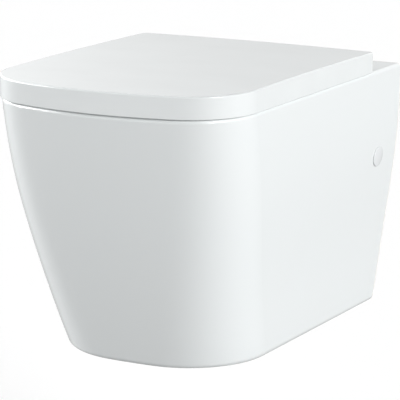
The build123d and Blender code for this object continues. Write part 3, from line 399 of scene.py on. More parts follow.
@dataclass(frozen=True)
class Glaze(Finish):
    """White sanitary glaze: fired gloss with a faint ripple, bare body where it stands on the wall.

    Attributes:
        body: Colour of the unglazed body.
        pooled: Colour where the glaze lies thick.
        ripple_size: Length of the glaze's long waves.
        ripple_depth: Their height.
        peel_size: Length of the fine orange peel.
        peel_depth: Its height.
        bare_edge: How far in from the wall the glaze is wiped off.
        deck_z: Height of the deck above the studs.
        foot_z: Height of the underside.
        skirt_half_width: Half of the skirt's width at the deck.
        skirt_radius: Radius of the side's inward curve.
        bowl_foot_z: Height of the bowl's lowest section.
        bowl_waist_z: Height of its middle section.
        bowl_rim_z: Height of its widest section.
        bowl_middle: The bowl's middle from the wall at foot, waist and rim.
        bowl_half_length: Half its length there.
        bowl_half_width: Half its width there.
        bowl_foot_power: How the bowl narrows from waist to foot, as a power of the way down.
        bowl_rim_power: How it widens from waist to rim, as a power of the way up.
        bowl_foot_slack: What the squared reach may be larger by at the bowl's foot.
        bowl_back: Squared reach at which the bowl's outside starts and is sure.
        skirt_back: Depth behind the skirt's face at which its inside starts and is sure.
        deck_back: Depth under the deck's face at which its underside starts and is sure.
        foot_back: Height over the foot's face at which its upper side starts and is sure.
        hollow_front: Where the hollow ends towards the front, from the wall.
        cloud_size: Length of a cloud of thicker glaze.
        speck_size: Length of a speck.
        run_size: Length of a run of thin glaze in the hollow.
        edge_wander: How far the wiped edge wanders.
        coat: Weight of the glassy top layer.
    """

    body: Colour = (0.79, 0.765, 0.72)
    pooled: Colour = (0.80, 0.83, 0.835)
    ripple_size: float = 0.055
    ripple_depth: float = 0.00006
    peel_size: float = 0.0045
    peel_depth: float = 0.000002
    bare_edge: float = 0.0018
    deck_z: float = 0.090
    foot_z: float = -0.254
    skirt_half_width: float = 0.1785
    skirt_radius: float = 1.05
    bowl_foot_z: float = -0.24
    bowl_waist_z: float = -0.06
    bowl_rim_z: float = 0.062
    bowl_middle: tuple[float, float, float] = (-0.267, -0.306, -0.322)
    bowl_half_length: tuple[float, float, float] = (0.034, 0.130, 0.176)
    bowl_half_width: tuple[float, float, float] = (0.031, 0.098, 0.134)
    bowl_foot_power: float = 0.734
    bowl_rim_power: float = 0.6
    bowl_foot_slack: float = 0.1
    bowl_back: tuple[float, float] = (1.09, 1.13)
    skirt_back: tuple[float, float] = (0.003, 0.005)
    deck_back: tuple[float, float] = (0.002, 0.004)
    foot_back: tuple[float, float] = (0.0005, 0.0015)
    hollow_front: tuple[float, float] = (-0.352, -0.348)
    cloud_size: float = 0.11
    speck_size: float = 0.0016
    run_size: float = 0.012
    edge_wander: float = 0.0006
    coat: float = 0.1

    def paint(self, book: ShaderBook) -> bpy.types.Material:
        """Writes the glaze, its wiped edge and the thin glaze inside the hollow."""
        x, y, z = book.axes()
        hollow = self._hollow(x, y, z)
        clouds = book.noise(self.cloud_size, 3.0)
        speck = book.noise(self.speck_size, 1.0)
        edge = y + self.edge_wander * (book.noise(self.edge_wander * 10.0) - 0.5)
        bare = edge.rise(-self.bare_edge, -self.bare_edge * 0.6)
        glazed = book.mix(clouds.rise(0.35, 0.75), self.colour, self.pooled)
        runs = book.noise(self.run_size, 3.0, (1.0, 1.0, 5.0))
        colour = book.mix((hollow * runs.rise(0.35, 0.7)).at_least(bare), glazed, self.body)
        gloss = self.roughness + 0.03 * (clouds - 0.5) + 0.02 * (speck - 0.5)
        roughness = gloss + bare * 0.55 + hollow * (0.16 + 0.2 * runs)
        peel = book.bump(book.noise(self.peel_size, 1.0), self.peel_depth)
        normal = book.bump(book.noise(self.ripple_size, 0.0), self.ripple_depth, peel)
        return book.finish({
            "Base Color": colour, "Roughness": roughness, "Normal": normal,
            "IOR": 1.52, "Coat Roughness": 0.03, "Coat Weight": self.coat - bare * self.coat,
        })

    def _hollow(self, x: Wire, y: Wire, z: Wire) -> Wire:
        """Where the surface lies in the hollow behind the skirt, outside the bowl.

        Args:
            x: Place across.
            y: Place from the wall.
            z: Height above the studs.

        Returns:
            1 in the hollow, 0 on the skirt, the deck and in the bowl.
        """
        low = z.rise(self.bowl_waist_z, self.bowl_foot_z) ** self.bowl_foot_power
        high = z.rise(self.bowl_waist_z, self.bowl_rim_z) ** self.bowl_rim_power
        middle, length, width = (
            waist + (foot - waist) * low + (rim - waist) * high
            for foot, waist, rim in (self.bowl_middle, self.bowl_half_length, self.bowl_half_width))
        reach = ((y - middle) / length) ** 2.0 + (x / width) ** 2.0
        depth = self.deck_z - z
        side = self.skirt_half_width - depth ** 2.0 / (2 * self.skirt_radius)
        inside = (side - abs(x)).rise(*self.skirt_back) * depth.rise(*self.deck_back)
        outside = (reach - low * self.bowl_foot_slack).rise(*self.bowl_back)
        return inside * y.rise(*self.hollow_front) * outside * (z - self.foot_z).rise(*self.foot_back)


@dataclass(frozen=True)
class MouldedPlastic(Finish):
    """Injection or compression moulded plastic.

    Attributes:
        coat: Weight of the clear polish on top.
        flow_size: Length of a flow mark.
        flow_shade: How much darker a flow mark is, as a share of the colour.
        grain_size: Length of the mould's grain.
        grain_depth: Height of the grain.
    """

    coat: float = 0.0
    flow_size: float = 0.05
    flow_shade: float = 0.965
    grain_size: float = 0.0012
    grain_depth: float = 0.000004

    def paint(self, book: ShaderBook) -> bpy.types.Material:
        """Writes the plastic with its mould grain and slight flow marks."""
        flow = book.noise(self.flow_size, 2.0, (2.0, 1.0, 1.0))
        grain = book.noise(self.grain_size, 2.0)
        darker = tuple(part * self.flow_shade for part in self.colour)
        colour = book.mix(flow.rise(0.3, 0.8), self.colour, darker)
        roughness = self.roughness + 0.05 * (flow - 0.5) + 0.04 * (grain - 0.5)
        normal = book.bump(grain, self.grain_depth)
        return book.finish({
            "Base Color": colour, "Roughness": roughness, "Normal": normal,
            "IOR": 1.5, "Coat Weight": self.coat, "Coat Roughness": 0.05,
        })


@dataclass(frozen=True)
class Rubber(Finish):
    """Moulded rubber with a bloomed, slightly dusty skin.

    Attributes:
        bloom_size: Length of a pale patch.
        skin_size: Length of the skin's grain.
        skin_depth: Height of the grain.
    """

    bloom_size: float = 0.009
    skin_size: float = 0.0007
    skin_depth: float = 0.00002

    def paint(self, book: ShaderBook) -> bpy.types.Material:
        """Writes the rubber."""
        bloom = book.noise(self.bloom_size, 4.0)
        skin = book.noise(self.skin_size, 2.0)
        paler = tuple(min(part * 1.35 + 0.02, 1.0) for part in self.colour)
        colour = book.mix(bloom.rise(0.4, 0.8), self.colour, paler)
        roughness = self.roughness + 0.14 * (bloom - 0.5) + 0.06 * (skin - 0.5)
        return book.finish({
            "Base Color": colour, "Roughness": roughness,
            "Normal": book.bump(skin, self.skin_depth), "IOR": 1.5,
        })


@dataclass(frozen=True)
class Metal(Finish):
    """Bare or plated metal.

    Attributes:
        brush: How many times longer the brush marks are along each axis.
        brush_size: Width of a brush mark.
        brush_depth: Depth of the marks.
        drift_size: Length of a cloud of the tint.
        tint: Colour that drifts over the plating.
    """

    brush: Point = (1.0, 1.0, 1.0)
    brush_size: float = 0.0004
    brush_depth: float = 0.000002
    drift_size: float = 0.012
    tint: Colour = (0.6, 0.6, 0.62)

    def paint(self, book: ShaderBook) -> bpy.types.Material:
        """Writes the metal with its marks and the plating's drifting tint."""
        drift = book.noise(self.drift_size, 3.0)
        marks = book.noise(self.brush_size, 2.0, self.brush)
        colour = book.mix(drift.rise(0.3, 0.75), self.colour, self.tint)
        roughness = self.roughness + 0.10 * (drift - 0.5) + 0.12 * (marks - 0.5)
        return book.finish({
            "Base Color": colour, "Metallic": 1.0, "Roughness": roughness,
            "Normal": book.bump(marks, self.brush_depth),
        })


class Finishes(Enum):
    """The finishes of this object, by the record's material slots."""

    CERAMIC = Glaze("ceramic", (0.80, 0.827, 0.83), 0.07)
    SEAT_PLASTIC = MouldedPlastic("seat_plastic", (0.80, 0.827, 0.83), 0.10, coat=0.1, grain_size=0.004,
                                  grain_depth=0.000002)
    BUFFER_RUBBER = Rubber("buffer_rubber", (0.50, 0.51, 0.51), 0.50)
    SEAL_RUBBER = Rubber("seal_rubber", (0.018, 0.018, 0.02), 0.52)
    HINGE_CHROME = Metal("hinge_chrome", (0.80, 0.81, 0.82), 0.09, brush_size=0.0015,
                         brush_depth=0.0000005, tint=(0.74, 0.75, 0.78))
    PIN_STEEL = Metal("pin_steel", (0.56, 0.56, 0.57), 0.28, brush=(0.2, 8.0, 8.0), tint=(0.50, 0.50, 0.51))
    ZINC_STEEL = Metal("zinc_steel", (0.58, 0.60, 0.63), 0.34, tint=(0.62, 0.60, 0.52))
    NYLON = MouldedPlastic("nylon", (0.66, 0.66, 0.62), 0.42)
    DAMPER_PLASTIC = MouldedPlastic("damper_plastic", (0.075, 0.08, 0.09), 0.48, grain_depth=0.00001)
    CAP_PLASTIC = MouldedPlastic("cap_plastic", (0.76, 0.78, 0.79), 0.18, coat=0.2)
    PIPE_PLASTIC = MouldedPlastic("pipe_plastic", (0.72, 0.72, 0.71), 0.36)
    WASTE_PLASTIC = MouldedPlastic("waste_plastic", (0.016, 0.016, 0.018), 0.38, grain_depth=0.000008)

    @classmethod
    def of_slot(cls, slot: str) -> "Finishes":
        """The finish of a record slot."""
        return next(f for f in cls if f.value.slot == slot)


# Forms


def plain(name: str, build: bmesh.types.BMesh, sharp: float = SHARP_DEG) -> bpy.types.Mesh:
    """Ends a mesh: doubles merged, faces outwards, smooth between the sharp edges.

    Args:
        name: The mesh's name.
        build: Its faces.
        sharp: Angle past which an edge stays sharp, degrees.

    Returns:
        The mesh.
    """
    bmesh.ops.remove_doubles(build, verts=build.verts, dist=SAME_PLACE)
    bmesh.ops.recalc_face_normals(build, faces=build.faces)
    mesh = bpy.data.meshes.new(name)
    build.to_mesh(mesh)
    build.free()
    mesh.shade_smooth()
    mesh.set_sharp_from_angle(angle=radians(sharp))
    return mesh


def rounded(section: Section, steps: int = 4) -> list[tuple[float, float]]:
    """A closed section with its corners rounded.

    Args:
        section: Corners as distance from the axis, place along it and rounding.
        steps: Parts of each rounded corner.

    Returns:
        The points of the rounded section.
    """
    points: list[tuple[float, float]] = []
    for index, (r, h, ease) in enumerate(section):
        corner = Vector((r, h))
        before = Vector(section[index - 1][:2]) - corner
        after = Vector(section[(index + 1) % len(section)][:2]) - corner
        if ease <= 0.0:
            points.append((r, h))
            continue
        start = corner + before.normalized() * min(ease, before.length * 0.45)
        end = corner + after.normalized() * min(ease, after.length * 0.45)
        for step in range(steps + 1):
            t = step / steps
            spot = (1 - t) ** 2 * start + 2 * t * (1 - t) * corner + t ** 2 * end
            points.append((spot.x, spot.y))
    return points


def hexagon(turn: float, flats: float, corner: float = 0.0) -> float:
    """Distance from a hexagon's middle to its edge.

    Args:
        turn: Direction, radians.
        flats: Width across the flats.
        corner: Direction of one corner, degrees.

    Returns:
        The distance, in the unit of the width.
    """
    return flats / 2 / cos((turn - radians(corner)) % (pi / 3) - pi / 6)


def placed(mesh: bpy.types.Mesh, foot: Point, axis: Point = (0.0, 0.0, 1.0)) -> bpy.types.Mesh:
    """Moves a mesh that stands on the origin along Z.

    Args:
        mesh: The mesh.
        foot: Where its origin goes, mm.
        axis: Where its Z points.

    Returns:
        The same mesh.
    """
    turn = Vector((0.0, 0.0, 1.0)).rotation_difference(Vector(axis)).to_matrix().to_4x4()
    mesh.transform(Matrix.Translation(Vector(foot) * MM) @ turn)
    return mesh


def lofted(name: str, section: Callable[[float], Sequence[tuple[float, float]]], parts: int = 72,
           sharp: float = SHARP_DEG) -> bpy.types.Mesh:
    """Closed form round the Z axis whose section may change with the direction.

    Args:
        name: The mesh's name.
        section: Gives the closed section's points in a direction, mm.
        parts: Faces round the axis.
        sharp: Angle past which an edge stays sharp, degrees.

    Returns:
        The mesh.
    """
    build = bmesh.new()
    columns: list[list[bmesh.types.BMVert]] = []
    for step in range(parts):
        turn = 2 * pi * step / parts
        columns.append([build.verts.new((r * cos(turn) * MM, r * sin(turn) * MM, h * MM))
                        for r, h in section(turn)])
    radii = [r for r, _ in section(0.0)]
    for index, column in enumerate(columns):
        past = columns[index - 1]
        for spot in range(len(column)):
            if radii[spot - 1] > 0.0 or radii[spot] > 0.0:
                build.faces.new((past[spot - 1], past[spot], column[spot], column[spot - 1]))
    return plain(name, build, sharp)


def turned(name: str, section: Section, parts: int = 72) -> bpy.types.Mesh:
    """Turned form round the Z axis.

    Args:
        name: The mesh's name.
        section: Corners of the closed section with their rounding, mm.
        parts: Faces round the axis.

    Returns:
        The mesh.
    """
    points = rounded(section)
    return lofted(name, lambda turn: points, parts)


def hexagon_nut(name: str, flats: float, height: float, bore: float, corner: float = 0.0) -> bpy.types.Mesh:
    """Nut with chamfered corners on both faces, standing on the origin.

    Args:
        name: The mesh's name.
        flats: Width across its flats, mm.
        height: Its height, mm.
        bore: Radius of its hole, mm.
        corner: Direction of one corner, degrees.

    Returns:
        The mesh.
    """
    face, lead = flats * 0.47, 0.5

    def section(turn: float) -> list[tuple[float, float]]:
        """The nut's section in one direction."""
        out = hexagon(turn, flats, corner)
        drop = max(0.0, out - face) * tan(radians(30.0))
        return [(bore, lead), (bore + lead, 0.0), (face, 0.0), (out, drop), (out, height - drop),
                (face, height), (bore + lead, height), (bore, height - lead)]

    return lofted(name, section, sharp=20.0)


def bar(name: str, size: Point, ease: float, middle: Point) -> bpy.types.Mesh:
    """Block with eased edges.

    Args:
        name: The mesh's name.
        size: Its sides, mm.
        ease: Width of its eased edges, mm.
        middle: Its middle, mm.

    Returns:
        The mesh.
    """
    build = bmesh.new()
    bmesh.ops.create_cube(build, size=1.0)
    bmesh.ops.scale(build, vec=Vector(size) * MM, verts=build.verts)
    bmesh.ops.bevel(build, geom=build.edges, offset=ease * MM, segments=2, affect="EDGES", profile=0.6)
    bmesh.ops.translate(build, vec=Vector(middle) * MM, verts=build.verts)
    return plain(name, build)


def rib_section(pitch: float, radii: tuple[float, float], start: float, ease: float) -> Section:
    """Section of one sealing rib, steeper on its first side.

    Args:
        pitch: From one rib to the next, mm.
        radii: Radius of its foot and crest, mm.
        start: Where it starts, mm.
        ease: Rounding of its crest, mm.

    Returns:
        The section's corners with their rounding.
    """
    foot, crest = radii
    return ((foot, start, 0.0), (crest, pitch * 0.35, ease), (crest, pitch * 0.55, ease),
            (foot, pitch * 0.92, 0.0))


def row(name: str, form: bpy.types.Mesh, count: int, step: Point,
        finish: bpy.types.Material) -> bpy.types.Mesh:
    """One form repeated along a line, made by Geometry Nodes.

    Args:
        name: The mesh's name.
        form: The form, at its first place.
        count: How many there are.
        step: From one to the next, mm.
        finish: Their material.

    Returns:
        All of them as one mesh.
    """
    book = GeometryBook(name, {"Count": count, "Step": tuple(part * MM for part in step)})
    line = book.geometry("GeometryNodeMeshLine", {"mode": "OFFSET"},
                         {"Count": book.size("Count"), "Offset": book.size("Step")}, "Mesh")
    laid = book.geometry("GeometryNodeInstanceOnPoints",
                         inputs={"Points": line, "Instance": book.size("Geometry")}, name="Instances")
    return book.mesh(laid, finish, form)


def ring(name: str, form: bpy.types.Mesh, count: int, finish: bpy.types.Material) -> bpy.types.Mesh:
    """One form repeated round the Z axis, made by Geometry Nodes.

    Args:
        name: The mesh's name.
        form: The form, at its place off the axis.
        count: How many there are.
        finish: Their material.

    Returns:
        All of them as one mesh.
    """
    book = GeometryBook(name, {"Count": count, "Pitch": 2 * pi / count})
    spots = book.geometry("GeometryNodePoints", inputs={"Count": book.size("Count")})
    laid = book.geometry("GeometryNodeInstanceOnPoints",
                         inputs={"Points": spots, "Instance": book.size("Geometry")}, name="Instances")
    index = book.out(book.node("GeometryNodeInputIndex"), "Index")
    turn = book.out(book.node("ShaderNodeCombineXYZ", inputs={"Z": index * book.size("Pitch")}), "Vector")
    spread = book.geometry("GeometryNodeRotateInstances", inputs={
        "Instances": laid, "Rotation": turn, "Local Space": False}, name="Instances")
    return book.mesh(spread, finish, form)


def thread(name: str, crest: float, pitch: float, length: float,
           finish: bpy.types.Material) -> bpy.types.Mesh:
    """Screw thread's ridge round the Z axis from the origin up, made by Geometry Nodes.

    Args:
        name: The mesh's name.
        crest: Radius of its crest, mm.
        pitch: Rise of one turn, mm.
        length: Its length, mm.
        finish: Its material.

    Returns:
        The ridge, whose inner edge lies inside the core.
    """
    depth = pitch * 0.5
    rise = length - 2 * depth
    book = GeometryBook(name, {"Radius": (crest - depth) * MM, "Turns": rise / pitch, "Rise": rise * MM,
                               "Depth": depth * MM, "Foot": (0.0, 0.0, depth * MM)})
    path = book.geometry("GeometryNodeCurveSpiral", inputs={
        "Resolution": 24, "Rotations": book.size("Turns"), "Start Radius": book.size("Radius"),
        "End Radius": book.size("Radius"), "Height": book.size("Rise"), "Reverse": True}, name="Curve")
    upright = book.geometry("GeometryNodeSetCurveNormal", {"mode": "Z_UP"}, {"Curve": path}, "Curve")
    edge = book.geometry("GeometryNodeCurvePrimitiveCircle", inputs={
        "Resolution": 4, "Radius": book.size("Depth")}, name="Curve")
    swept = book.geometry("GeometryNodeCurveToMesh", inputs={
        "Curve": upright, "Profile Curve": edge, "Fill Caps": True}, name="Mesh")
    lifted = book.geometry("GeometryNodeTransform", inputs={
        "Geometry": swept, "Translation": book.size("Foot")})
    return book.mesh(lifted, finish)


def eased(node: str, width: float, segments: int = 2) -> bpy.types.Mesh:
    """A copy of a model's node with its sharp edges rounded.

    Args:
        node: The node's name.
        width: Width of the rounding, mm.
        segments: Parts of the rounding.

    Returns:
        The rounded copy.
    """
    build = bmesh.new()
    build.from_mesh(frame["nodes"][node].data)
    bmesh.ops.remove_doubles(build, verts=build.verts, dist=SAME_PLACE_IN_MODEL)
    bmesh.ops.dissolve_limit(build, angle_limit=radians(1.0), verts=build.verts, edges=build.edges)
    holder = bpy.data.objects.new(node, plain(node, build))
    bpy.context.scene.collection.objects.link(holder)
    modifier = holder.modifiers.new("ease", "BEVEL")
    modifier.width = width * MM
    modifier.segments = segments
    modifier.limit_method = "ANGLE"
    modifier.angle_limit = radians(40.0)
    modifier.miter_outer = "MITER_ARC"
    shading = holder.modifiers.new("flats", "WEIGHTED_NORMAL")
    shading.keep_sharp = True
    bpy.context.view_layer.update()
    made = bpy.data.meshes.new_from_object(holder.evaluated_get(bpy.context.evaluated_depsgraph_get()))
    holder.modifiers.clear()
    bpy.data.objects.remove(holder)
    return made


def joined(name: str, meshes: Sequence[bpy.types.Mesh], finish: bpy.types.Material) -> bpy.types.Mesh:
    """Several meshes as one, in one finish.

    Args:
        name: The mesh's name.
        meshes: The meshes; a single one is kept as it is.
        finish: Their material.

    Returns:
        The whole mesh.
    """
    whole = meshes[0]
    if len(meshes) > 1:
        build = bmesh.new()
        for mesh in meshes:
            build.from_mesh(mesh)
        whole = bpy.data.meshes.new(name)
        build.to_mesh(whole)
        build.free()
    whole.name = name
    for face in whole.polygons:
        face.material_index = 0
    whole.materials.clear()
    whole.materials.append(finish)
    return whole


# The studio


@dataclass(frozen=True)
class SoftPanel:
    """One tall soft light that stands far off, drawn on the world.

    Attributes:
        azimuth: Where its middle stands, degrees to the right of the front.
        tightness: Power of its fall to the sides; a larger one makes a narrower panel.
        strength: Brightness at its middle.
    """

    azimuth: float
    tightness: float
    strength: float

    def glow(self, across: Wire, back: Wire) -> Wire:
        """Brightness by direction.

        Args:
            across: The direction's share to the right, on the level.
            back: Its share to the back, on the level.

        Returns:
            The panel's light, before its height is cut.
        """
        turn = radians(self.azimuth)
        facing = (across * sin(turn) - back * cos(turn)).at_least(0.0)
        return self.strength * facing ** self.tightness


@dataclass
class Studio:
    """Camera, soft light and the pale floor.

    Attributes:
        azimuth: Camera's turn to the right of the front, degrees.
        elevation: Camera's height angle, degrees.
        camera_at: Camera's place.
        lens: Focal length for the film's width, mm.
        film: Film's width, mm.
        floor_z: Height of the floor.
        floor_size: Its width.
        floor_white: How much light it gives back to the camera.
        shade_white: How much light comes back up to the object from below.
        shade_under: How far under the floor the one that lights the object from below lies.
        panel_foot: Where the panels' light starts and is full, as the sine of the height angle.
        panel_head: Where it starts to fall and ends.
        ambient: Even light from all of the space above the floor.
        panels: The soft lights.
    """

    azimuth: float = 28.905
    elevation: float = 12.607
    camera_at: Point = (1.5711, -3.0961, 0.6525)
    lens: float = 222.84
    film: float = 36.0
    floor_z: float = -0.62
    floor_size: float = 60.0
    floor_white: float = 0.96
    shade_white: float = 0.35
    shade_under: float = 0.002
    panel_foot: tuple[float, float] = (0.0, 0.12)
    panel_head: tuple[float, float] = (0.42, 0.62)
    ambient: float = 0.089
    panels: tuple[SoftPanel, ...] = (
        SoftPanel(-120.0, 16.0, 4.578), SoftPanel(-105.0, 60.0, 14.359), SoftPanel(-75.0, 60.0, 7.325),
        SoftPanel(-60.0, 60.0, 11.639), SoftPanel(70.0, 60.0, 19.2), SoftPanel(110.0, 16.0, 2.235),
        SoftPanel(180.0, 16.0, 1.873),
    )

    def build(self) -> None:
        """Sets up the camera, light and floor."""
        bpy.context.scene.view_settings.view_transform = "Standard"
        self._camera()
        self._light()
        floor = self._floor("floor", self.floor_z, self.floor_white)
        floor.visible_diffuse = floor.visible_glossy = False
        floor.visible_transmission = floor.visible_shadow = False
        shade = self._floor("floor_shade", self.floor_z - self.shade_under, self.shade_white)
        shade.visible_camera = False

    def _camera(self) -> None:
        """Sets up the camera."""
        scene = bpy.context.scene
        camera = bpy.data.cameras.new("camera")
        camera.lens = self.lens
        camera.sensor_width = self.film
        camera.clip_end = 200.0
        holder = bpy.data.objects.new("camera", camera)
        holder.location = self.camera_at
        holder.rotation_euler = (radians(90.0 - self.elevation), 0.0, radians(self.azimuth))
        scene.collection.objects.link(holder)
        scene.camera = holder

    def _light(self) -> None:
        """Draws the soft panels on the world."""
        world = bpy.data.worlds.new("studio")
        bpy.context.scene.world = world
        book = ShaderBook(world)
        split = book.node("ShaderNodeSeparateXYZ", inputs={
            0: book.out(book.node("ShaderNodeTexCoord"), "Generated")})
        x, y, z = (book.out(split, axis) for axis in "XYZ")
        level = (x * x + y * y).at_least(0.000001).root()
        across, back = x / level, y / level
        glow = sum((panel.glow(across, back) for panel in self.panels[1:]), self.panels[0].glow(across, back))
        window = z.eased_rise(*self.panel_foot) * (1.0 - z.eased_rise(*self.panel_head))
        brightness = glow * window + self.ambient * z.rise(-0.0005, 0.0005)
        light = book.node("ShaderNodeBackground", inputs={"Color": (1.0, 1.0, 1.0), "Strength": brightness})
        book.node("ShaderNodeOutputWorld", inputs={"Surface": book.out(light, "Background")})

    def _floor(self, name: str, height: float, white: float) -> bpy.types.Object:
        """Plain pale floor.

        Args:
            name: The floor's name.
            height: Its height.
            white: How much light it gives back.

        Returns:
            The floor's object.
        """
        half = self.floor_size / 2
        mesh = bpy.data.meshes.new(name)
        mesh.from_pydata([(-half, -half, height), (half, -half, height), (half, half, height),
                          (-half, half, height)], [], [(0, 1, 2, 3)])
        floor = bpy.data.objects.new(name, mesh)
        bpy.context.scene.collection.objects.link(floor)
        book = ShaderBook(bpy.data.materials.new(f"{name}_finish"))
        mesh.materials.append(book.finish({"Base Color": (white, white, white), "Roughness": 0.9,
                                           "Specular IOR Level": 0.0}))
        return floor


# Sub-assemblies


@dataclass
class SubAssembly:
    """A group of the object's pieces: some keep the model's mesh, others are made anew here.

    Attributes:
        rows: The record's row of each node.
    """

    rows: dict[str, dict[str, Any]] = field(init=False, repr=False)

    def __post_init__(self) -> None:
        """Reads the record's rows."""
        self.rows = {row["node"]: row for row in frame["record"]["subparts"]}

    def build(self) -> None:
        """Makes the group's pieces and dresses them."""
        raise NotImplementedError

    def finish(self, node: str) -> bpy.types.Material:
        """The material of a node's slot."""
        return Finishes.of_slot(self.rows[node]["material_slot"]).value.material()

    def dress(self, *nodes: str) -> None:
        """Gives nodes that keep the model's mesh the finish of their slot."""
        for name in nodes:
            mesh = frame["nodes"][name].data
            mesh.materials.clear()
            mesh.materials.append(self.finish(name))
            LOG.info("%s: the model's mesh in %s", name, mesh.materials[0].name)

    def put(self, node: str, *meshes: bpy.types.Mesh) -> bpy.types.Object:
        """Puts a piece made here in a node's place, on the node's body.

        Args:
            node: The node that it stands for.
            meshes: The piece's meshes.

        Returns:
            The piece.
        """
        piece = bpy.data.objects.new(f"{node}_piece", joined(f"{node}_piece", meshes, self.finish(node)))
        bpy.context.scene.collection.objects.link(piece)
        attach(piece, body_of(frame["nodes"][node])[0])
        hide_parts(node)
        LOG.info("%s: %d faces in %s", piece.name, len(piece.data.polygons), piece.data.materials[0].name)
        return piece


@dataclass
class CeramicPan(SubAssembly):
    """The glazed casting: skirt, deck, bowl, trapway, outlet and inlet."""

    def build(self) -> None:
        """Dresses the casting."""
        self.dress("ceramic_pan")


@dataclass
class SeatAndLid(SubAssembly):
    """The seat under its wrap-over lid, with the buffers of both.

    Attributes:
        edge_drop: How far the lid's lower edge comes down to the deck, mm.
        edge_z: Height of that edge in the model, mm.
        edge_round: Height of the edge's rounding, which drops whole, mm.
        edge_blend: Height over which the drop fades out above it, mm.
    """

    edge_drop: float = 2.0
    edge_z: float = 92.0
    edge_round: float = 1.0
    edge_blend: float = 3.0

    def build(self) -> None:
        """Makes the lid and dresses the rest."""
        self.dress("seat_ring", "seat_buffers", "lid_buffers")
        self._lid()

    def _lid(self) -> bpy.types.Object:
        """The lid with a closer edge; its shading stays the model's."""
        source = frame["nodes"]["lid"].data
        build = bmesh.new()
        build.from_mesh(source)
        shading = build.loops.layers.float_vector.new("shading")
        for face in build.faces:
            for corner, index in zip(face.loops, source.polygons[face.index].loop_indices):
                corner[shading] = source.corner_normals[index].vector
        bmesh.ops.remove_doubles(build, verts=build.verts, dist=SAME_PLACE)
        for vertex in build.verts:
            share = 1.0 - (vertex.co.z / MM - self.edge_z - self.edge_round) / self.edge_blend
            vertex.co.z -= self.edge_drop * MM * min(max(share, 0.0), 1.0)
        mesh = bpy.data.meshes.new("lid")
        build.to_mesh(mesh)
        build.free()
        piece = self.put("lid", mesh)
        normals = [tuple(item.vector) for item in piece.data.attributes["shading"].data]
        piece.data.normals_split_custom_set(normals)
        piece.data.attributes.remove(piece.data.attributes["shading"])
        return piece


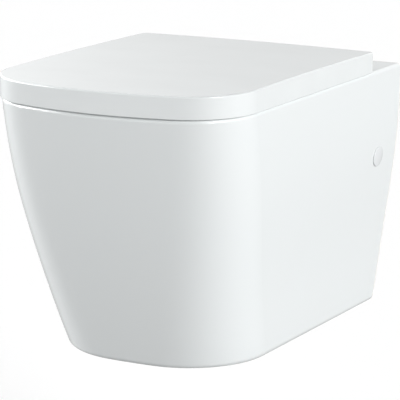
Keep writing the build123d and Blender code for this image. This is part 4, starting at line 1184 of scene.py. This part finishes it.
@dataclass
class QuickReleaseHinges(SubAssembly):
    """Two posts that drop onto grooved pegs, with the soft-close dampers on the pins.

    Attributes:
        spacing: Distance between the two pegs, mm.
        peg_y: The pegs' distance from the wall, mm.
        peg_foot: Height of the pegs' lower end, mm.
        peg_radius: Radius of the pegs' shank, mm.
        peg_thread: Pitch and length of their thread, mm.
        peg_head: Section of the pegs above the shank: collar, groove and lead, mm.
        axis_y: The hinge axis from the wall, mm.
        axis_z: Its height, mm.
        post_ease: Rounding of the posts' edges, mm.
        base_ease: Rounding of the base plates' edges, mm.
        button_ease: Rounding of the latch plates' edges, mm.
        ridge: Sides of one grip ridge on a button, mm.
        ridge_ease: Width of a ridge's eased edges, mm.
        ridge_step: From one ridge to the next, mm.
        ridges: Ridges on a button.
        button_face: The button's face, from the wall and its height, mm.
        damper_x: Outer end of the dampers, mm.
        damper: Section of a damper: pin hole, barrel and cap, mm.
        flute: Sides of one flute on a damper's cap, mm.
        flute_ease: Width of a flute's eased edges, mm.
        flute_at: Middle of a flute from the damper's axis and along it, mm.
        flutes: Flutes round a damper's cap.
        nut: Flats, height and bore of the anchor nuts, mm.
        nut_z: Height of their lower face, mm.
        bush: Section of the bushes, from the deck down, mm.
        bush_z: Height of the bushes' upper end, mm.
    """

    spacing: float = 155.0
    peg_y: float = -124.0
    peg_foot: float = 52.2
    peg_radius: float = 4.0
    peg_thread: tuple[float, float] = (1.25, 14.0)
    peg_head: Section = (
        (6.0, 40.3, 0.3), (6.0, 42.9, 0.4), (3.5, 42.9, 0.2), (3.5, 45.1, 0.2), (2.4, 45.1, 0.2),
        (2.4, 48.1, 0.2), (3.5, 48.1, 0.2), (3.5, 49.5, 0.3), (2.7, 50.3, 0.3), (0.0, 50.3, 0.0))
    axis_y: float = -100.0
    axis_z: float = 110.5
    post_ease: float = 0.5
    base_ease: float = 0.3
    button_ease: float = 0.2
    ridge: Point = (6.4, 0.7, 0.55)
    ridge_ease: float = 0.2
    ridge_step: float = 1.5
    ridges: int = 3
    button_face: tuple[float, float] = (-134.5, 98.8)
    damper_x: float = 69.5
    damper: Section = (
        (0.0, 8.5, 0.0), (3.55, 8.5, 0.0), (3.55, 0.0, 0.3), (5.8, 0.0, 0.5), (5.8, 28.0, 0.3),
        (5.3, 28.5, 0.1), (5.45, 29.0, 0.2), (5.45, 33.0, 0.5), (0.0, 33.0, 0.0))
    flute: Point = (0.7, 0.8, 3.0)
    flute_ease: float = 0.15
    flute_at: tuple[float, float] = (5.42, 31.0)
    flutes: int = 20
    nut: tuple[float, float, float] = (13.0, 6.5, 4.03)
    nut_z: float = 55.2
    bush: Section = (
        (4.1, 0.0, 0.4), (7.7, 0.0, 0.5), (7.7, 13.0, 1.0), (10.2, 15.5, 1.6), (10.2, 25.5, 1.6),
        (7.7, 28.0, 0.8), (4.1, 28.0, 0.4))
    bush_z: float = 89.7

    def build(self) -> None:
        """Makes the hinges' pieces."""
        self.dress("hinge_pins", "seat_bushes", "lid_bushes")
        for hand, side in HANDS:
            self._post(hand)
            self._button(hand, side)
        self._damper("seat_damper", -1)
        self._damper("lid_damper", 1)
        self._pegs()
        self._anchors()

    def _post(self, hand: str) -> None:
        """One post and its base plate."""
        self.put(f"hinge_post_{hand}", eased(f"hinge_post_{hand}", self.post_ease, 3))
        self.put(f"hinge_base_{hand}", eased(f"hinge_base_{hand}", self.base_ease))

    def _button(self, hand: str, side: int) -> None:
        """One button with its latch plate and grip ridges."""
        node = f"release_button_{hand}"
        y, z = self.button_face
        low = z - self.ridge_step * (self.ridges - 1) / 2
        ridge = bar("ridge", self.ridge, self.ridge_ease, (side * self.spacing / 2, y, low))
        grip = row(f"{node}_grip", ridge, self.ridges, (0.0, 0.0, self.ridge_step), self.finish(node))
        self.put(node, eased(node, self.button_ease), grip)

    def _damper(self, node: str, side: int) -> None:
        """One damper barrel with a fluted cap."""
        barrel = turned(f"{node}_barrel", self.damper)
        out, along = self.flute_at
        flute = bar("flute", self.flute, self.flute_ease, (out, 0.0, along))
        grip = ring(f"{node}_flutes", flute, self.flutes, self.finish(node))
        foot = (side * self.damper_x, self.axis_y, self.axis_z)
        inwards = (float(-side), 0.0, 0.0)
        self.put(node, placed(barrel, foot, inwards), placed(grip, foot, inwards))

    def _pair(self, node: str, foot: Point, axis: Point, *meshes: bpy.types.Mesh) -> None:
        """Puts a form under both posts.

        Args:
            node: The node of the pair.
            foot: Place of the left one, mm.
            axis: Where its Z points.
            meshes: The form's meshes, standing on the origin.
        """
        form = placed(joined(node, meshes, self.finish(node)), foot, axis)
        self.put(node, row(node, form, 2, (self.spacing, 0.0, 0.0), self.finish(node)))

    def _pegs(self) -> None:
        """The two pegs: thread, shank, collar and grooved head."""
        (pitch, length), radius = self.peg_thread, self.peg_radius
        core, lead, collar = radius - pitch / 2, 0.4, self.peg_head[0][1]
        peg = turned("peg", (
            (0.0, 0.0, 0.0), (core, 0.0, lead), (core, length - lead, 0.0), (radius, length, 0.2),
            (radius, collar, 0.0), *self.peg_head))
        ridge = thread("peg_thread", radius, pitch, length, self.finish("hinge_pegs"))
        foot = (-self.spacing / 2, self.peg_y, self.peg_foot)
        self._pair("hinge_pegs", foot, (0.0, 0.0, 1.0), peg, ridge)

    def _anchors(self) -> None:
        """The rubber bushes and the nuts under the deck."""
        x = -self.spacing / 2
        bush = turned("bush", self.bush)
        self._pair("anchor_bushes", (x, self.peg_y, self.bush_z), (0.0, 0.0, -1.0), bush)
        nut = hexagon_nut("nut", *self.nut)
        self._pair("anchor_nuts", (x, self.peg_y, self.nut_z), (0.0, 0.0, 1.0), nut)


@dataclass
class WallFixings(SubAssembly):
    """Steel angles on the wall studs, with their washers and nuts.

    Attributes:
        spacing: Distance between the studs, mm.
        plate: Thickness of the brackets, mm.
        bracket_ease: Rounding of the brackets' edges, mm.
        washer: Outer radius, bore and thickness of the washers, mm.
        nut: Flats, height and bore of the nuts, mm.
    """

    spacing: float = 180.0
    plate: float = 4.0
    bracket_ease: float = 0.5
    washer: tuple[float, float, float] = (12.0, 6.5, 2.5)
    nut: tuple[float, float, float] = (19.0, 10.0, 6.05)

    def build(self) -> None:
        """Makes the fixings."""
        for hand, _ in HANDS:
            self.put(f"wall_bracket_{hand}", eased(f"wall_bracket_{hand}", self.bracket_ease))
        outer, bore, thick = self.washer
        washer = turned("washer", ((bore, 0.0, 0.2), (outer, 0.0, 0.3), (outer, thick, 0.6),
                                   (bore, thick, 0.3)))
        self._on_studs("stud_washers", washer, self.plate)
        self._on_studs("stud_nuts", hexagon_nut("stud_nut", *self.nut, corner=30.0), self.plate + thick)

    def _on_studs(self, node: str, form: bpy.types.Mesh, depth: float) -> None:
        """Puts a form on both studs.

        Args:
            node: The node of the pair.
            form: The form, standing on the origin.
            depth: Its foot's distance from the wall, mm.
        """
        left = placed(form, (-self.spacing / 2, -depth, 0.0), (0.0, -1.0, 0.0))
        self.put(node, row(node, left, 2, (self.spacing, 0.0, 0.0), self.finish(node)))


@dataclass
class SideFixings(SubAssembly):
    """Side screws through the ceramic into nylon blocks, under their caps.

    Attributes:
        place: The screws' distance from the wall and height, mm.
        screw_x: Inner end of the screws, mm.
        washer: Section of the washers, mm.
        washer_x: Inner face of the washers, mm.
        screw_radius: Radius of the screws' shank, mm.
        screw_thread: Pitch and length of the thread, mm.
        screw_head: Radius of the heads, and where they start and end along the screw, mm.
        socket: Flats and depth of the heads' hexagon sockets, mm.
        knurl: Sides of one knurl on a head, mm.
        knurl_ease: Width of a knurl's eased edges, mm.
        knurls: Knurls round a head.
        block_ease: Rounding of the blocks' edges, mm.
        cap: Section of a cap's stem and rim, mm.
        cap_top: Height of its face's middle, mm.
        cap_crown: How far the face falls off, as twice the radius of its crown, mm.
        cap_rings: Radii at which the face's height is set, mm.
        cap_x: Foot of the caps' axis on the side's face, mm.
        cap_slope: The side's slope there, degrees.
    """

    place: tuple[float, float] = (-58.0, -32.0)
    screw_x: float = 122.0
    washer: Section = ((4.4, 0.0, 0.2), (9.0, 0.0, 0.2), (9.0, 1.6, 0.4), (4.4, 1.6, 0.2))
    washer_x: float = 159.93
    screw_radius: float = 4.0
    screw_thread: tuple[float, float] = (1.25, 22.0)
    screw_head: tuple[float, float, float] = (6.2, 39.53, 44.53)
    socket: tuple[float, float] = (5.0, 3.0)
    knurl: Point = (0.8, 0.5, 3.4)
    knurl_ease: float = 0.12
    knurls: int = 36
    block_ease: float = 0.5
    cap: Section = ((0.0, -4.2, 0.0), (10.2, -4.2, 0.6), (10.2, 0.0, 0.0), (14.0, 0.0, 0.2), (14.0, 1.3, 0.7))
    cap_top: float = 2.4
    cap_crown: float = 196.0
    cap_rings: tuple[float, ...] = (12.6, 10.5, 7.0, 3.5, 0.0)
    cap_x: float = 172.58
    cap_slope: float = 6.315

    def build(self) -> None:
        """Makes the side fixings."""
        self.put("clamp_blocks", eased("clamp_blocks", self.block_ease))
        y, z = self.place
        screws: list[bpy.types.Mesh] = []
        washers: list[bpy.types.Mesh] = []
        for side in SIDES:
            out = (float(side), 0.0, 0.0)
            screws += [placed(mesh, (side * self.screw_x, y, z), out) for mesh in self._screw()]
            washers.append(placed(turned("clamp_washer", self.washer), (side * self.washer_x, y, z), out))
        self.put("clamp_screws", *screws)
        self.put("clamp_washers", *washers)
        for hand, side in HANDS:
            self._cap(hand, side)

    def _screw(self) -> list[bpy.types.Mesh]:
        """One screw's shank and head, thread and knurls, standing on its end."""
        pitch, length = self.screw_thread
        radius, core, lead = self.screw_radius, self.screw_radius - pitch / 2, 0.5
        side, head, top = self.screw_head
        flats, depth = self.socket

        def section(turn: float) -> list[tuple[float, float]]:
            """The screw's section, with a hexagon socket in its head."""
            socket = hexagon(turn, flats)
            return [(0.0, 0.0), (core - lead, 0.0), (core, lead), (core, length - lead), (radius, length),
                    (radius, head), (side - 0.3, head), (side, head + 0.3), (side, top - 0.6),
                    (side - 0.6, top), (socket, top), (socket, top - depth), (0.0, top - depth)]

        knurl = bar("knurl", self.knurl, self.knurl_ease, (side - 0.1, 0.0, head + 2.3))
        finish = self.finish("clamp_screws")
        return [lofted("clamp_screw", section), thread("clamp_thread", radius, pitch, length, finish),
                ring("clamp_knurls", knurl, self.knurls, finish)]

    def _cap(self, hand: str, side: int) -> None:
        """One cap: rounded rim, crowned face and the stem in the hole."""
        node = f"side_cap_{hand}"
        crown = [(r, self.cap_top - r * r / self.cap_crown, 0.0) for r in self.cap_rings]
        cap = turned(node, (*self.cap, *crown), 96)
        slope = radians(self.cap_slope)
        y, z = self.place
        self.put(node, placed(cap, (side * self.cap_x, y, z), (side * cos(slope), 0.0, -sin(slope))))


@dataclass
class FlushConnection(SubAssembly):
    """Flush pipe and its ribbed rubber cuff.

    Attributes:
        pipe: Section of the pipe with its bead, mm.
        pipe_foot: Front end of the pipe, mm.
        cuff: Section of the cuff with its lip, mm.
        cuff_foot: Front end of the cuff, mm.
        rib_radii: Radius of the cuff's ribs at foot and crest, mm.
        rib_pitch: Distance between the cuff's ribs, mm.
        ribs: How many there are.
        parts: Faces round the axis.
    """

    pipe: Section = (
        (20.5, 0.0, 0.5), (22.5, 0.0, 0.9), (22.5, 84.0, 0.5), (24.5, 84.0, 0.9), (24.5, 88.0, 0.9),
        (22.5, 88.0, 0.5), (22.5, 148.0, 0.8), (20.5, 148.0, 0.5))
    pipe_foot: Point = (0.0, -90.0, 35.0)
    cuff: Section = (
        (22.6, 0.0, 0.4), (25.2, 0.0, 0.6), (25.2, 46.0, 0.8), (34.0, 46.0, 0.9), (34.0, 49.0, 1.2),
        (22.6, 49.0, 0.8))
    cuff_foot: Point = (0.0, -80.0, 35.0)
    rib_radii: tuple[float, float] = (24.8, 27.4)
    rib_pitch: float = 46.0 / 3
    ribs: int = 3
    parts: int = 96

    def build(self) -> None:
        """Makes the pipe and the cuff."""
        self.put("flush_pipe", placed(turned("pipe", self.pipe, self.parts), self.pipe_foot, INTO_WALL))
        sleeve = turned("cuff", self.cuff, self.parts)
        rib = turned("rib", rib_section(self.rib_pitch, self.rib_radii, 0.4, 1.2), self.parts)
        ribs = row("cuff_ribs", rib, self.ribs, (0.0, 0.0, self.rib_pitch), self.finish("flush_seal"))
        self.put("flush_seal", *(placed(mesh, self.cuff_foot, INTO_WALL) for mesh in (sleeve, ribs)))


@dataclass
class WasteConnection(SubAssembly):
    """Waste connector and the lip seal round the outlet spigot.

    Attributes:
        pipe: Section of the connector: socket, cone and pipe, mm.
        pipe_foot: Front end of the socket, mm.
        seal: Section of the seal's sleeve, mm.
        seal_foot: Front end of the seal, mm.
        lip_radii: Radius of the seal's lips at foot and crest, mm.
        lip_pitch: Distance between the lips, mm.
        lips: How many there are.
        parts: Faces round the axis.
    """

    pipe: Section = (
        (55.0, 0.0, 0.9), (58.5, 0.0, 1.2), (58.5, 44.0, 4.0), (45.0, 56.0, 4.0), (45.0, 132.0, 1.0),
        (42.0, 132.0, 0.8), (42.0, 54.5, 3.0), (55.0, 42.5, 3.0))
    pipe_foot: Point = (0.0, -42.0, -100.0)
    seal: Section = ((51.1, 0.0, 0.3), (53.3, 0.0, 0.5), (53.3, 12.0, 0.5), (51.1, 12.0, 0.3))
    seal_foot: Point = (0.0, -38.0, -100.0)
    lip_radii: tuple[float, float] = (52.9, 54.9)
    lip_pitch: float = 6.0
    lips: int = 2
    parts: int = 128

    def build(self) -> None:
        """Makes the connector and the seal."""
        self.put("waste_pipe", placed(turned("waste", self.pipe, self.parts), self.pipe_foot, INTO_WALL))
        sleeve = turned("waste_cuff", self.seal, self.parts)
        lip = turned("lip", rib_section(self.lip_pitch, self.lip_radii, 0.2, 0.5), self.parts)
        lips = row("waste_lips", lip, self.lips, (0.0, 0.0, self.lip_pitch), self.finish("waste_seal"))
        self.put("waste_seal", *(placed(mesh, self.seal_foot, INTO_WALL) for mesh in (sleeve, lips)))


def main() -> None:
    """Dresses the object piece by piece and sets up the studio."""
    logging.basicConfig(level=logging.INFO, format="%(name)s %(message)s")
    Studio().build()
    for group in (CeramicPan(), SeatAndLid(), QuickReleaseHinges(), WallFixings(), SideFixings(),
                  FlushConnection(), WasteConnection()):
        group.build()


if __name__ == "__main__":
    main()
